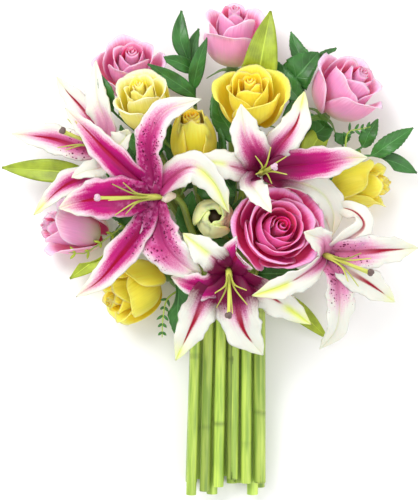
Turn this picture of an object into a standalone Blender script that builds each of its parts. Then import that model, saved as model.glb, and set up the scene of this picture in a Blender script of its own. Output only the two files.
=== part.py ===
"""A hand-tied bouquet of roses and pink oriental lilies with cut stems, lying on its side.

The flowers point along +Y, the cut ends along -Y, and +Z is up. Tables hold millimetres.
"""

import math
import random

import bmesh
import bpy
import numpy as np
from mathutils.bvhtree import BVHTree

# Driving sizes, in millimetres
MM = 0.001
PETAL_THICK = 1.7
TEPAL_THICK = 1.8
LEAF_THICK = 1.6
GAP = 0.35
CUT_GAP = 0.5

# Bundle of stems: columns across, rows upwards, at the tie and at the cut ends
TIE_Y, TIE_X, TIE_Z, TIE_PITCH = -42.0, 17.0, 19.0, 11.75
END_Y, END_X, END_Z, END_PITCH = -229.0, 15.0, 4.6, 12.9
ROW_COUNTS = (6, 5, 6)
ROW_RISE = 0.87
STEM_RADIUS, NECK_RADIUS, LILY_NECK, TWIG_END = 5.5, 3.4, 3.0, 1.6
BAND_WIDTH, BAND_THICK, BAND_ROOM = 6.0, 1.8, 1.35
# Nothing but a resting petal or stem comes nearer to the surface than this
LEAF_CLEAR = 1.6
# Points along each stem: below the tie, above it, and those held still at both ends of the bow
STRAIGHT_POINTS, BOW_POINTS = 9, 24
HOLD_AT_TIE, HOLD_AT_HEAD = 3, 2
# Calyx: length of its foot, and its rings, (out, along) between the sepals and on them
CALYX_FOOT = 14.0
CALYX_RINGS = (((4.2, -11.0), (4.4, -11.0)), ((6.0, -7.5), (11.0, -7.6)), ((6.2, -5.5), (25.0, -15.0)),
               ((5.8, -4.0), (11.5, -5.6)), ((4.4, -0.9), (4.6, -0.9)))
CALYX_TURN = 0.4

# Each rose: head centre, facing, radius, height, openness, petals, first angle, colour
ROSES = {
    "rose_1": ((-72, 168, 42), (0.02, 0.66, 0.75), 34, 54, 0.85, 8, 20, (0.93, 0.66, 0.80)),
    "rose_2": ((22, 199, 44), (0.02, 0.86, 0.51), 31, 64, 0.80, 7, 75, (0.93, 0.66, 0.78)),
    "rose_3": ((127, 147, 42), (0.56, 0.62, 0.55), 36, 65, 0.85, 8, 10, (0.95, 0.68, 0.80)),
    "rose_4": ((-126, 18, 24.9), (-0.94, 0.16, 0.30), 28, 72, 0.70, 7, 200, (0.93, 0.62, 0.76)),
    "rose_5": ((60, 17, 88), (0.26, 0.26, 0.93), 44, 54, 1.00, 10, 40, (0.85, 0.15, 0.50)),
    "rose_6": ((-60, 132, 90), (-0.16, 0.66, 0.73), 29, 62, 0.80, 8, 260, (0.97, 0.93, 0.45)),
    "rose_7": ((37, 136, 84), (-0.05, 0.68, 0.73), 34, 60, 0.90, 8, 330, (0.98, 0.86, 0.15)),
    "rose_8": ((-15, 101, 82), (-0.03, 0.78, 0.62), 27, 63, 0.60, 7, 100, (0.97, 0.75, 0.10)),
    "rose_9": ((137, 60, 24.1), (0.94, 0.10, 0.30), 27, 73, 0.70, 7, 270, (0.98, 0.84, 0.15)),
    "rose_10": ((-69, -38, 42), (-0.80, -0.38, 0.46), 32, 69, 0.80, 8, 150, (0.98, 0.88, 0.25)),
}

# How far blades keep off a rose head, which is a barrel with this roundness
HEAD_HALF, BARREL, TEPAL_MARGIN, LEAF_MARGIN = 0.52, 2.6, 2.2, 1.6

# Each lily: throat, facing, stigma, and its six tepals (half width, points out to the tip)
LILIES = {
    "lily_1": ((-45, 48, 104), (-0.74, -0.06, 0.62), (-99, 46, 140), (
        (15, ((-53, 82, 112), (-51, 104, 120), (-38, 124, 122), (-7, 135, 116))),
        (14, ((-68, 67, 103), (-91, 88, 101), (-114, 112, 94), (-131, 129, 86))),
        (19, ((-66, 48, 104), (-92, 47, 98), (-116, 44, 87), (-138, 38, 76))),
        (15, ((-60, 20, 100), (-78, -3, 92), (-99, -27, 84), (-122, -43, 74))),
        (21, ((-45, 22, 106), (-40, 5, 107), (-28, -9, 104), (-6, -26, 94))),
        (15, ((-32, 66, 112), (-14, 74, 122), (4, 60, 120), (18, 33, 110))),
    )),
    "lily_2": ((-93, 92, 64), (-0.80, 0.28, 0.53), (-133, 108, 92), (
        (13, ((-94, 116, 72), (-102, 138, 74), (-104, 174, 68))),
        (12, ((-114, 127, 60), (-131, 146, 52), (-142, 161, 44))),
        (14, ((-117, 94, 60), (-146, 103, 52), (-184, 108, 40))),
        (13, ((-108, 70, 66), (-135, 57, 63), (-162, 32, 58))),
        (11, ((-98, 76, 74), (-112, 72, 78), (-126, 66, 76))),
        (13, ((-86, 92, 84), (-76, 101, 94), (-70, 114, 102))),
    )),
    "lily_3": ((46, 69, 100), (0.18, 0.12, 0.97), (57, 73, 150), (
        (16, ((40, 86, 112), (32, 103, 120), (28, 130, 124))),
        (14, ((61, 92, 104), (78, 114, 98), (86, 144, 88))),
        (15, ((68, 75, 106), (99, 78, 104), (125, 83, 94), (144, 84, 84))),
        (16, ((70, 64, 94), (99, 54, 82), (113, 34, 72), (112, 12, 66))),
        (11, ((37, 60, 112), (44, 49, 124), (55, 33, 130))),
        (13, ((27, 73, 110), (5, 78, 116), (-20, 76, 116))),
    )),
    "lily_4": ((17, -18, 96), (0.05, -0.55, 0.83), (17, -58, 130), (
        (16, ((-4, -42, 98), (-15, -66, 88), (-31, -101, 72))),
        (19, ((23, -43, 102), (31, -72, 90), (49, -96, 74))),
        (15, ((39, -33, 96), (62, -46, 86), (93, -68, 72))),
        (17, ((22, -9, 106), (28, 0, 108), (37, 7, 100))),
        (14, ((4, -7, 112), (-10, 4, 118), (-24, 15, 116))),
        (13, ((1, -32, 102), (-15, -31, 97), (-35, -24, 90))),
    )),
    "lily_5": ((104, -4, 84), (0.66, -0.30, 0.69), (144, -20, 118), (
        (15, ((125, -2, 92), (160, 0, 80), (192, 2, 62))),
        (14, ((126, -19, 84), (148, -32, 74), (171, -48, 56))),
        (15, ((114, -21, 88), (118, -46, 78), (116, -72, 62), (102, -92, 44))),
        (13, ((92, -17, 96), (68, -31, 104), (38, -41, 108))),
        (12, ((100, 8, 98), (94, 12, 108), (84, 16, 118))),
        (12, ((124, 9, 94), (139, 22, 90), (130, 36, 78), (106, 41, 68))),
    )),
}
LILY_TUBE, LILY_TUBE_RADIUS = 13.0, 7.0
# How far a tepal's face is turned from the lily's own facing to straight up
TEPAL_UP = 0.6
# Filaments and style: hub, reach along and out at half way and at the end, thickness, stigma
HUB_HALF, HUB_RADIUS = 2.4, 3.4
FILAMENT_BEND, FILAMENT_END = (18.0, 5.0), (36.0, 16.0)
FILAMENT_RADII, STYLE_RADII = (1.1, 1.0, 0.8), (1.6, 1.5, 1.4, 1.5)
STIGMA_HALF, STIGMA_RADIUS, STIGMA_NOTCH = 2.6, 3.6, 0.55
BUD_BASE, BUD_FACING, BUD_RADIUS, BUD_HEIGHT = (3, 28, 50), (0.03, 0.06, 1.0), 18.0, 47.0
# Rings up the outside of the bud and down into its mouth: height, radius, depth of the seams
BUD_RINGS = ((0.04, 0.22, 0.01), (0.20, 0.70, 0.03), (0.45, 0.92, 0.05), (0.72, 0.74, 0.06),
             (0.90, 0.48, 0.05), (0.98, 0.62, 0.12), (0.95, 0.44, 0.06), (0.80, 0.30, 0.03))

# Slots in the bundle: row by row from below, left to right
SLOTS = (
    ("stem_rose_4", "stem_rose_1", "greens_1", "stem_rose_2", "stem_rose_3", "greens_3"),
    ("greens_4", "stem_rose_6", "stem_rose_7", "greens_2", "stem_rose_9"),
    ("stem_rose_10", "stem_lily_1", "stem_rose_8", "stem_lily_3", "stem_rose_5", "stem_lily_2"),
)
LILY_STEMS = {
    "stem_lily_1": ("lily_1", "lily_2"),
    "stem_lily_2": ("lily_3", "lily_bud"),
    "stem_lily_3": ("lily_4", "lily_5"),
}
GREEN_ENDS = {
    "greens_1": ((-15, 150, 44), (0.0, 1.0, 0.15)),
    "greens_2": ((84, 128, 50), (0.35, 0.9, 0.1)),
    "greens_3": ((141, 92, 34), (0.6, 0.75, 0.1)),
    "greens_4": ((-100, 52, 40), (-0.8, 0.5, 0.1)),
}

# Leaves: stem, half width, toothed, points out to the tip
LEAVES = (
    ("stem_lily_1", 11, False, ((-113, 72, 46), (-153, 74, 42), (-194, 77, 30))),
    ("stem_lily_1", 9, False, ((-87, 7, 30), (-107, -9, 28), (-131, -27, 22))),
    ("stem_lily_2", 16, False, ((41, 129, 52), (48, 178, 72), (56, 219, 70))),
    ("stem_lily_2", 11, False, ((85, 78, 56), (98, 100, 50), (112, 121, 36))),
    ("stem_lily_3", 9, False, ((56, -40, 26), (84, -58, 18), (112, -84, 14))),
    ("stem_rose_10", 12, True, ((-27, -17, 44), (-29, -46, 42), (-31, -82, 30))),
    ("stem_rose_6", 7, True, ((-88, 127, 66), (-94, 144, 76), (-102, 163, 72))),
    ("greens_1", 8, False, ((-20, 174, 46), (-27, 196, 50), (-26, 222, 46))),
    ("greens_1", 6, False, ((-16, 173, 40), (-15, 191, 36), (-10, 207, 30))),
    ("greens_1", 7, False, ((-15, 163, 48), (-29, 173, 56), (-45, 177, 58))),
    ("greens_1", 7, False, ((-15, 148, 50), (-10, 173, 60), (-2, 195, 66))),
    ("greens_1", 8, False, ((-14, 142, 52), (-34, 156, 60), (-57, 170, 72))),
    ("greens_2", 18, True, ((75, 149, 46), (86, 166, 52), (101, 183, 48))),
    ("greens_2", 8, True, ((96, 166, 38), (106, 177, 42), (118, 188, 40))),
    ("greens_2", 8, True, ((92, 165, 40), (82, 186, 36), (76, 204, 30))),
    ("greens_2", 11, True, ((83, 137, 50), (69, 155, 56), (56, 178, 50))),
    ("greens_2", 11, False, ((86, 135, 44), (78, 124, 56), (64, 112, 64))),
    ("greens_3", 8, True, ((124, 98, 34), (124, 108, 38), (127, 117, 34))),
    ("greens_3", 8, True, ((142, 96, 34), (148, 108, 40), (157, 122, 36))),
    ("greens_3", 9, True, ((150, 88, 36), (166, 98, 42), (190, 114, 34))),
    ("greens_3", 8, False, ((153, 86, 34), (172, 82, 36), (194, 72, 28))),
    ("greens_4", 9, True, ((-110, 52, 36), (-128, 54, 28), (-150, 52, 18))),
    ("greens_4", 9, True, ((-95, 70, 26), (-104, 96, 20), (-116, 122, 12))),
    ("greens_4", 9, True, ((-80, 70, 22), (-78, 92, 16), (-84, 118, 10))),
    # Between the flowers, closing the gaps under the blooms
    ("stem_rose_8", 12, True, ((-22, 84, 58), (-34, 100, 64), (-44, 120, 66))),
    ("stem_rose_8", 11, True, ((-4, 74, 58), (6, 92, 66), (10, 112, 66))),
    ("stem_rose_7", 12, True, ((28, 100, 56), (12, 122, 62), (4, 148, 60))),
    ("stem_rose_7", 12, True, ((40, 84, 50), (60, 98, 56), (72, 118, 54))),
    ("stem_rose_6", 12, True, ((-44, 92, 60), (-62, 96, 66), (-80, 108, 66))),
    ("stem_rose_6", 12, True, ((-30, 60, 52), (-52, 72, 60), (-66, 92, 60))),
    ("stem_rose_10", 12, True, ((-40, -8, 44), (-58, 8, 54), (-84, 18, 56))),
    ("greens_4", 12, True, ((-66, 30, 40), (-84, 36, 52), (-100, 36, 58))),
    ("stem_rose_5", 12, True, ((34, 8, 52), (24, 26, 66), (30, 48, 76))),
    ("stem_rose_5", 12, True, ((44, -22, 44), (66, -22, 56), (88, -22, 62))),
    ("stem_rose_9", 12, True, ((92, 40, 40), (100, 60, 50), (116, 74, 56))),
    ("stem_rose_3", 12, True, ((88, 104, 40), (104, 112, 50), (112, 126, 56))),
    ("stem_rose_8", 13, True, ((-10, 64, 54), (4, 56, 62), (24, 50, 66))),
    ("stem_rose_8", 12, True, ((-14, 14, 50), (-20, 32, 58), (-16, 54, 62))),
    ("stem_rose_5", 12, True, ((10, -12, 50), (4, 0, 58), (20, 8, 62))),
)
# One more leaf low at the back of each rose stem, this far from the tie to the flower
BACK_LEAF = 0.60
# Twigs: stem, points out to the tip
TWIGS = (
    ("stem_rose_10", ((-38, -44, 40), (-43, -62, 44), (-44, -81, 42))),
    ("stem_lily_1", ((-108, 2, 34), (-122, -3, 38), (-133, -2, 34))),
    ("greens_2", ((76, 118, 58), (86, 120, 66), (93, 126, 64))),
    ("greens_3", ((128, 108, 46), (140, 112, 48), (149, 114, 46))),
)

# Colours
CALYX_GREEN, LEAF_LIGHT, LEAF_DARK = (0.36, 0.52, 0.20), (0.60, 0.72, 0.18), (0.16, 0.34, 0.14)
LILY_PINK, FILAMENT_GREEN = (0.90, 0.45, 0.66), (0.80, 0.86, 0.52)
BUD_CREAM, BAND_TAN = (0.88, 0.92, 0.55), (0.72, 0.60, 0.40)


def clear_scene():
    for old in list(bpy.data.objects):
        bpy.data.objects.remove(old, do_unlink=True)


def unit(vector):
    vector = np.asarray(vector, float)
    return vector / np.linalg.norm(vector)


def sideways(axis):
    """Two unit vectors square to AXIS and to each other."""
    helper = (0.0, 0.0, 1.0) if abs(axis[2]) < 0.9 else (0.0, 1.0, 0.0)
    first = unit(np.cross(helper, axis))
    return first, np.cross(axis, first)


def smooth_curve(points, count):
    """COUNT + 1 evenly spaced points on a smooth curve through POINTS."""
    inner = np.asarray(points, float)
    guide = np.vstack([2 * inner[0] - inner[1], inner, 2 * inner[-1] - inner[-2]])
    fine = []
    for i in range(1, len(guide) - 2):
        a, b, c, d = guide[i - 1:i + 3]
        for t in np.linspace(0.0, 1.0, 10, endpoint=False):
            fine.append(0.5 * (2 * b + (c - a) * t + (2 * a - 5 * b + 4 * c - d) * t**2
                               + (3 * b - a - 3 * c + d) * t**3))
    fine.append(inner[-1])
    fine = np.array(fine)
    steps = np.linalg.norm(np.diff(fine, axis=0), axis=1)
    along = np.concatenate([[0.0], np.cumsum(steps)])
    wanted = np.linspace(0.0, along[-1], count + 1)
    return np.stack([np.interp(wanted, along, fine[:, k]) for k in range(3)], axis=1)


def bezier(p0, p1, p2, p3, t):
    t = np.asarray(t)[..., None]
    s = 1.0 - t
    return s**3 * p0 + 3 * s**2 * t * p1 + 3 * s * t**2 * p2 + t**3 * p3


def heads():
    """Keep-out forms: each rose head and the bud as a rounded barrel."""
    forms = {}
    for name, (centre, facing, radius, height, *_) in ROSES.items():
        forms[name] = (np.array(centre, float), unit(facing), radius, HEAD_HALF * height)
    facing = unit(BUD_FACING)
    middle = np.array(BUD_BASE) + 0.5 * BUD_HEIGHT * facing
    forms["lily_bud"] = (middle, facing, BUD_RADIUS, HEAD_HALF * BUD_HEIGHT)
    return forms


def clear_of_heads(points, margin, but=()):
    """POINTS pushed out of every head by MARGIN, so that a blade bends round the flower."""
    points = np.array(points, float)
    for name, (centre, facing, radius, half) in HEADS.items():
        if name in but:
            continue
        offset = points - centre
        along = offset @ facing
        out = np.linalg.norm(offset - along[..., None] * facing, axis=-1)
        depth = (np.abs(along) / (half + margin))**BARREL + (out / (radius + margin))**BARREL
        depth = depth**(1 / BARREL)
        inside = depth < 1.0
        points[inside] = centre + offset[inside] / np.maximum(depth[inside], 0.2)[:, None]
    return points


HEADS = heads()


# Closed shapes, as points in millimetres and triangles
def lens(grid, thick):
    """A closed blade with sharp edges, THICK mm through along its middle."""
    rows, columns = grid.shape[:2]
    normal = np.cross(np.gradient(grid, axis=1), np.gradient(grid, axis=0))
    normal /= np.maximum(np.linalg.norm(normal, axis=2, keepdims=True), 1e-9)
    index = np.arange(rows * columns).reshape(rows, columns)
    under = index.copy()
    inner = (slice(1, -1), slice(1, -1))
    under[inner] = rows * columns + np.arange((rows - 2) * (columns - 2)).reshape(rows - 2, columns - 2)
    over = grid.copy()
    over[inner] += normal[inner] * thick / 2
    points = np.concatenate([over.reshape(-1, 3), (grid - normal * thick / 2)[inner].reshape(-1, 3)])
    faces = []
    for i in range(rows - 1):
        for j in range(columns - 1):
            turned = (i, j) in ((0, columns - 2), (rows - 2, 0))
            for side, flip in ((index, 1), (under, -1)):
                a, b, c, d = side[i, j], side[i, j + 1], side[i + 1, j], side[i + 1, j + 1]
                pair = ((a, b, c), (b, d, c)) if turned else ((a, b, d), (a, d, c))
                faces += [face[::flip] for face in pair]
    return points, faces


def tube(path, radii, sides):
    """A closed tube along PATH with a radius for each point."""
    path = np.asarray(path, float)
    tangent = np.gradient(path, axis=0)
    tangent /= np.linalg.norm(tangent, axis=1, keepdims=True)
    across, _ = sideways(tangent[0])
    points = []
    for centre, along, radius in zip(path, tangent, radii):
        across = unit(across - (across @ along) * along)
        up = np.cross(along, across)
        for i in range(sides):
            angle = 2 * math.pi * i / sides
            points.append(centre + radius * (math.cos(angle) * across + math.sin(angle) * up))
    faces = []
    for ring in range(len(path) - 1):
        for i in range(sides):
            a, b = ring * sides + i, ring * sides + (i + 1) % sides
            faces += [(a, b, b + sides), (a, b + sides, a + sides)]
    last = (len(path) - 1) * sides
    faces += [(0, i + 1, i) for i in range(1, sides - 1)]
    faces += [(last, last + i, last + i + 1) for i in range(1, sides - 1)]
    return np.array(points), faces


def ovoid(centre, axis, half, radius, sides=6, rings=3):
    """A closed rounded body of HALF length along AXIS."""
    axis = unit(axis)
    across, up = sideways(axis)
    points = [centre - half * axis]
    for ring in range(1, rings + 1):
        lift = math.pi * ring / (rings + 1)
        for i in range(sides):
            angle = 2 * math.pi * i / sides
            out = math.cos(angle) * across + math.sin(angle) * up
            points.append(centre - half * math.cos(lift) * axis + radius * math.sin(lift) * out)
    points.append(centre + half * axis)
    last = len(points) - 1
    faces = []
    for i in range(sides):
        j = (i + 1) % sides
        faces.append((0, 1 + j, 1 + i))
        for ring in range(rings - 1):
            a, b = 1 + ring * sides + i, 1 + ring * sides + j
            faces += [(a, b, b + sides), (a, b + sides, a + sides)]
        faces.append((last, last - sides + i, last - sides + j))
    return np.array(points), faces


# Roses
def rose_petal(rose, share, turn, rows=3, columns=4):
    """One petal: SHARE runs from 0 at the heart to 1 at the outside, TURN is its angle."""
    centre, facing, radius, height, openness = ROSES[rose][:5]
    axis = unit(facing)
    across, up = sideways(axis)
    base = np.array(centre) - 0.5 * height * axis
    belly = radius * (0.30 + 0.60 * share)
    rim = radius * (0.14 + (0.42 + 0.44 * openness) * share**1.1)
    top = height * (1.0 - 0.20 * openness * share**2)
    roll = 0.13 * radius * openness * share**2
    wrap = math.radians(88 - 26 * share)
    start = 0.06 + 0.34 * (1.0 - share)
    v, u = np.meshgrid(np.linspace(0, 1, rows + 1), np.linspace(-1, 1, columns + 1), indexing="ij")
    climb = v * (1.0 - 0.24 * np.abs(u)**2.5) + 0.05 * v**3 * (1 - np.abs(u))**2
    profile = bezier(np.array((0.10 * radius, start * height)),
                     np.array((1.05 * belly, (start + 0.02) * height)),
                     np.array((1.08 * belly, 0.66 * top)), np.array((rim, top)), climb)
    curl = np.clip((climb - 0.74) / 0.26, 0, 1.2)**2
    out = profile[..., 0] + roll * curl + 0.03 * radius * u * v + 0.05 * radius * share * v**2 * np.abs(u)**3
    lift = profile[..., 1] - 0.8 * roll * curl
    angle = turn + u * wrap * (0.82 + 0.18 * np.sin(math.pi * v))
    ray = np.cos(angle)[..., None] * across + np.sin(angle)[..., None] * up
    return base + out[..., None] * ray + lift[..., None] * axis


def rose_bloom(rose):
    centre, facing, radius, height, openness, petals, first = ROSES[rose][:7]
    axis = unit(facing)
    base = np.array(centre) - 0.5 * height * axis
    shapes = [ovoid(base + 0.34 * height * axis, axis, 0.34 * height, 0.27 * radius)]
    for i in range(petals):
        share = 1.0 - (i / petals)**0.9
        turn = math.radians(first + 137.5 * i)
        grid = rose_petal(rose, share, turn, *((3, 4) if share > 0.4 else (2, 3)))
        shapes.append(lens(grid, PETAL_THICK))
    return shapes


def calyx(rose):
    """The green cup under a rose, one body with its five sepals turned outwards and back."""
    centre, facing, _, height = ROSES[rose][:4]
    axis = unit(facing)
    across, up = sideways(axis)
    seat = np.array(centre) - (0.5 * height + GAP) * axis
    points, faces = [seat - CALYX_FOOT * axis], []
    for between, sepal in CALYX_RINGS:
        for i in range(10):
            out, lift = sepal if i % 2 else between
            angle = 2 * math.pi * i / 10 + CALYX_TURN
            ray = math.cos(angle) * across + math.sin(angle) * up
            points.append(seat + lift * axis + out * ray)
    points.append(seat)
    last = len(points) - 1
    for i in range(10):
        j = (i + 1) % 10
        faces.append((0, 1 + j, 1 + i))
        for ring in range(len(CALYX_RINGS) - 1):
            a, b = 1 + 10 * ring + i, 1 + 10 * ring + j
            faces += [(a, b, b + 10), (a, b + 10, a + 10)]
        faces.append((last, last - 10 + i, last - 10 + j))
    points = np.array(points)
    points[:, 2] = np.maximum(points[:, 2], LEAF_CLEAR)
    return points, faces


# Blades: tepals and leaves
def blade(line, half_width, face, widths, columns=2, fold=0.0, wave=0.0, phase=0.0):
    """A grid along LINE: WIDTHS is the share of HALF_WIDTH at each row, FACE is where it looks."""
    tangent = np.gradient(line, axis=0)
    tangent /= np.linalg.norm(tangent, axis=1, keepdims=True)
    inner = np.asarray(face, float) - (tangent @ face)[:, None] * tangent
    inner /= np.maximum(np.linalg.norm(inner, axis=1, keepdims=True), 1e-6)
    side = np.cross(tangent, inner)
    half = half_width * np.asarray(widths, float)
    u = np.linspace(-1, 1, columns + 1)
    steps = np.linspace(0, 1, len(line))
    ripple = wave * np.sin(2 * math.pi * 2.5 * steps[:, None] + phase + 1.4 * np.sign(u)) * np.abs(u)**2
    ripple = ripple * np.asarray(widths, float)[:, None]
    lift = fold * np.abs(u)[None, :] * half[:, None] + ripple
    across = (side * half[:, None])[:, None] * u[None, :, None]
    return line[:, None] + across + inner[:, None] * lift[..., None]


def tepal_widths(rows):
    steps = np.linspace(0, 1, rows + 1)
    grown = 0.24 + 0.76 * np.sin(0.5 * math.pi * np.minimum(steps / 0.42, 1.0))
    narrowed = 1.0 - np.clip((steps - 0.45) / 0.55, 0, 1)**2.1
    return np.maximum(grown * narrowed, 0.035)


def tepal(lily, index, rows=6):
    throat, facing, _, tepals = LILIES[lily]
    half_width, points = tepals[index]
    line = smooth_curve([throat, *points], rows)
    face = unit(unit(facing) + TEPAL_UP * np.array((0.0, 0.0, 1.0)))
    grid = blade(line, half_width, face, tepal_widths(rows), fold=0.28, wave=1.8, phase=1.3 * index)
    return clear_of_heads(grid, TEPAL_MARGIN)


def lily_bloom(lily):
    throat, facing, _, tepals = LILIES[lily]
    axis = unit(facing)
    shapes = [ovoid(np.array(throat) - 0.35 * LILY_TUBE * axis, axis, LILY_TUBE, LILY_TUBE_RADIUS)]
    shapes += [lens(tepal(lily, i), TEPAL_THICK) for i in range(len(tepals))]
    return shapes


def filaments(lily):
    """Six bare filaments and the style with its three-lobed stigma, on one small hub."""
    throat, facing, stigma, _ = LILIES[lily]
    axis = unit(facing)
    across, up = sideways(axis)
    hub = np.array(throat) + (0.65 * LILY_TUBE + GAP + HUB_HALF) * axis
    shapes = [ovoid(hub, axis, HUB_HALF, HUB_RADIUS, rings=1)]
    for i in range(6):
        angle = 2 * math.pi * (i + 0.5) / 6
        out = math.cos(angle) * across + math.sin(angle) * up
        knots = [hub] + [hub + along * axis + away * out for along, away in (FILAMENT_BEND, FILAMENT_END)]
        shapes.append(tube(smooth_curve(knots, 2), FILAMENT_RADII, 3))
    stigma = np.array(stigma, float)
    line = smooth_curve([hub, hub + 0.5 * (stigma - hub) + 4 * axis, stigma], 3)
    shapes.append(tube(line, STYLE_RADII, 4))
    points, faces = ovoid(stigma, axis, STIGMA_HALF, STIGMA_RADIUS, rings=1)
    points[1:-1:2] = stigma + STIGMA_NOTCH * (points[1:-1:2] - stigma)
    shapes.append((points, faces))
    return shapes


def bud_bloom():
    """Six tepals still closed round a six-sided mouth, their tips just turned out."""
    axis = unit(BUD_FACING)
    across, up = sideways(axis)
    base = np.array(BUD_BASE, float)
    points, faces = [base], []
    for height, radius, ridge in BUD_RINGS:
        for i in range(12):
            angle = 2 * math.pi * i / 12 + 0.2
            out = math.cos(angle) * across + math.sin(angle) * up
            reach = BUD_RADIUS * (radius + ridge * (1 if i % 2 else -1))
            lift = BUD_HEIGHT * (height + 0.35 * ridge * (1 if i % 2 else -1))
            points.append(base + lift * axis + reach * out)
    points.append(base + 0.62 * BUD_HEIGHT * axis)
    last = len(points) - 1
    for i in range(12):
        j = (i + 1) % 12
        faces.append((0, 1 + j, 1 + i))
        for ring in range(len(BUD_RINGS) - 1):
            a, b = 1 + 12 * ring + i, 1 + 12 * ring + j
            faces += [(a, b, b + 12), (a, b + 12, a + 12)]
        faces.append((last, last - 12 + i, last - 12 + j))
    return [(np.array(points), faces)]


# Stems
def slot_places():
    """For each stem its place at the tie and at the cut end, packed like pencils in a hand."""
    draw = random.Random(11)
    places = {}
    for row, names in enumerate(SLOTS):
        for column, name in enumerate(names):
            step = column - 0.5 * (ROW_COUNTS[row] - 1)
            tie = (TIE_X + step * TIE_PITCH, TIE_Y, TIE_Z + row * ROW_RISE * TIE_PITCH)
            end = (END_X + step * END_PITCH + draw.uniform(-0.5, 0.5), END_Y + draw.uniform(-1, 18),
                   END_Z + row * ROW_RISE * END_PITCH)
            places[name] = (np.array(tie), np.array(end))
    return places


def goals(stem):
    """Where a stem ends: (point, facing, neck radius) for each flower or spray on it."""
    if stem in GREEN_ENDS:
        point, facing = GREEN_ENDS[stem]
        return [(np.array(point, float), unit(facing), TWIG_END)]
    if stem in LILY_STEMS:
        found = []
        for flower in LILY_STEMS[stem]:
            if flower == "lily_bud":
                axis = unit(BUD_FACING)
                found.append((np.array(BUD_BASE) - GAP * axis, axis, LILY_NECK))
            else:
                throat, facing = LILIES[flower][:2]
                axis = unit(facing)
                found.append((np.array(throat) - (1.35 * LILY_TUBE + GAP) * axis, axis, LILY_NECK))
        return found
    centre, facing, _, height = ROSES[stem.replace("stem_", "")][:4]
    axis = unit(facing)
    return [(np.array(centre) - (0.5 * height + GAP + 9.0) * axis, axis, NECK_RADIUS)]


def first_routes():
    """Each stem's first line: straight to the tie, then a bow to its flower."""
    routes = []
    for name, (tie, end) in slot_places().items():
        heading = unit(tie - end)
        for point, facing, neck in goals(name):
            reach = np.linalg.norm(point - tie)
            straight = [end + (tie - end) * t for t in np.linspace(0, 1, STRAIGHT_POINTS, endpoint=False)]
            bow = bezier(tie, tie + 0.38 * reach * heading, point - 0.36 * reach * facing, point,
                         np.linspace(0, 1, BOW_POINTS))
            line = np.vstack([straight, bow])
            share = np.clip((np.arange(len(line)) - STRAIGHT_POINTS) / (BOW_POINTS - 1.0), 0, 1)
            routes.append([name, line, STEM_RADIUS + (neck - STEM_RADIUS) * share])
    return routes


def relax(routes, rounds=160):
    """Stems pushed off each other, off the heads and off the tepals, and kept smooth."""
    obstacles = np.concatenate([tepal(lily, i)[1:].reshape(-1, 3) for lily in LILIES for i in range(6)])
    count = STRAIGHT_POINTS + BOW_POINTS
    points = np.concatenate([line for _, line, _ in routes])
    radii = np.concatenate([radius for *_, radius in routes])
    owner = np.repeat([sorted(SLOTS[0] + SLOTS[1] + SLOTS[2]).index(name) for name, *_ in routes], count)
    place = np.tile(np.arange(count), len(routes))
    free = (place >= STRAIGHT_POINTS + HOLD_AT_TIE) & (place < count - HOLD_AT_HEAD)
    reach = radii[:, None] + radii[None, :] + 0.6
    other = owner[:, None] != owner[None, :]
    room = radii[:, None] + 2.4
    for step in range(rounds):
        offset = points[:, None] - points[None, :]
        far = np.linalg.norm(offset, axis=2) + 1e-6
        push = np.where(other & (far < reach), (reach - far) / far, 0.0)
        move = 0.45 * np.einsum("ij,ijk->ik", push, offset)
        offset = points[:, None] - obstacles[None, :]
        far = np.linalg.norm(offset, axis=2) + 1e-6
        push = np.where(far < room, (room - far) / far, 0.0)
        move += 0.35 * np.einsum("ij,ijk->ik", push, offset)
        size = np.linalg.norm(move, axis=1, keepdims=True)
        points[free] += (move * np.minimum(1.0, 3.0 / np.maximum(size, 1e-6)))[free]
        for i, (name, *_) in enumerate(routes):
            piece = slice(i * count, (i + 1) * count)
            line = points[piece]
            flowers = LILY_STEMS.get(name, (name.replace("stem_", ""),))
            pushed = clear_of_heads(line, STEM_RADIUS, but=flowers)
            if step < rounds - 12:
                pushed[1:-1] += 0.35 * ((pushed[:-2] + pushed[2:]) / 2 - pushed[1:-1])
            keep = free[piece]
            line[keep] = pushed[keep]
            line[keep, 2] = np.maximum(line[keep, 2], radii[piece][keep] + LEAF_CLEAR)
    return [[name, points[i * count:(i + 1) * count], radius] for i, (name, _, radius) in enumerate(routes)]


ROUTES = relax(first_routes())


def stem_tubes(stem):
    """The stem's own tubes, thinned to the points that its bends need."""
    shapes = []
    for name, line, radii in ROUTES:
        if name != stem:
            continue
        picked = [0, STRAIGHT_POINTS] + list(range(STRAIGHT_POINTS + 4, len(line) - 3, 5)) + [len(line) - 1]
        shapes.append(tube(line[picked], radii[picked], 6))
    return shapes


def nearest_on(stem, point):
    lines = np.concatenate([line[STRAIGHT_POINTS + 3:-2] for name, line, _ in ROUTES if name == stem])
    return lines[np.argmin(np.linalg.norm(lines - point, axis=1))]


def leaf(stem, half_width, toothed, points, rows=5):
    """A stalk from the stem and a blade folded a little along its midrib."""
    points = np.array(points, float)
    root = nearest_on(stem, points[0])
    stalk = np.linalg.norm(points[0] - root)
    body = np.linalg.norm(np.diff(points, axis=0), axis=1).sum()
    share = stalk / (stalk + body)
    line = smooth_curve([root, *points], rows)
    steps = np.linspace(0, 1, rows + 1)
    inside = np.clip((steps - share) / (1 - share), 0, 1)
    widths = np.where(steps <= share, 0.0, np.sin(math.pi * inside**0.75)**0.8)
    if toothed:
        widths[1::2] *= 0.84
    widths = np.maximum(widths, 1.1 / half_width)
    grid = blade(line, half_width, (0.0, 0.0, 1.0), widths, fold=0.22, wave=1.0, phase=half_width)
    grid[1:] = clear_of_heads(grid[1:], LEAF_MARGIN)
    grid[..., 2] = np.maximum(grid[..., 2], LEAF_CLEAR + LEAF_THICK / 2)
    return lens(grid, LEAF_THICK)


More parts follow.
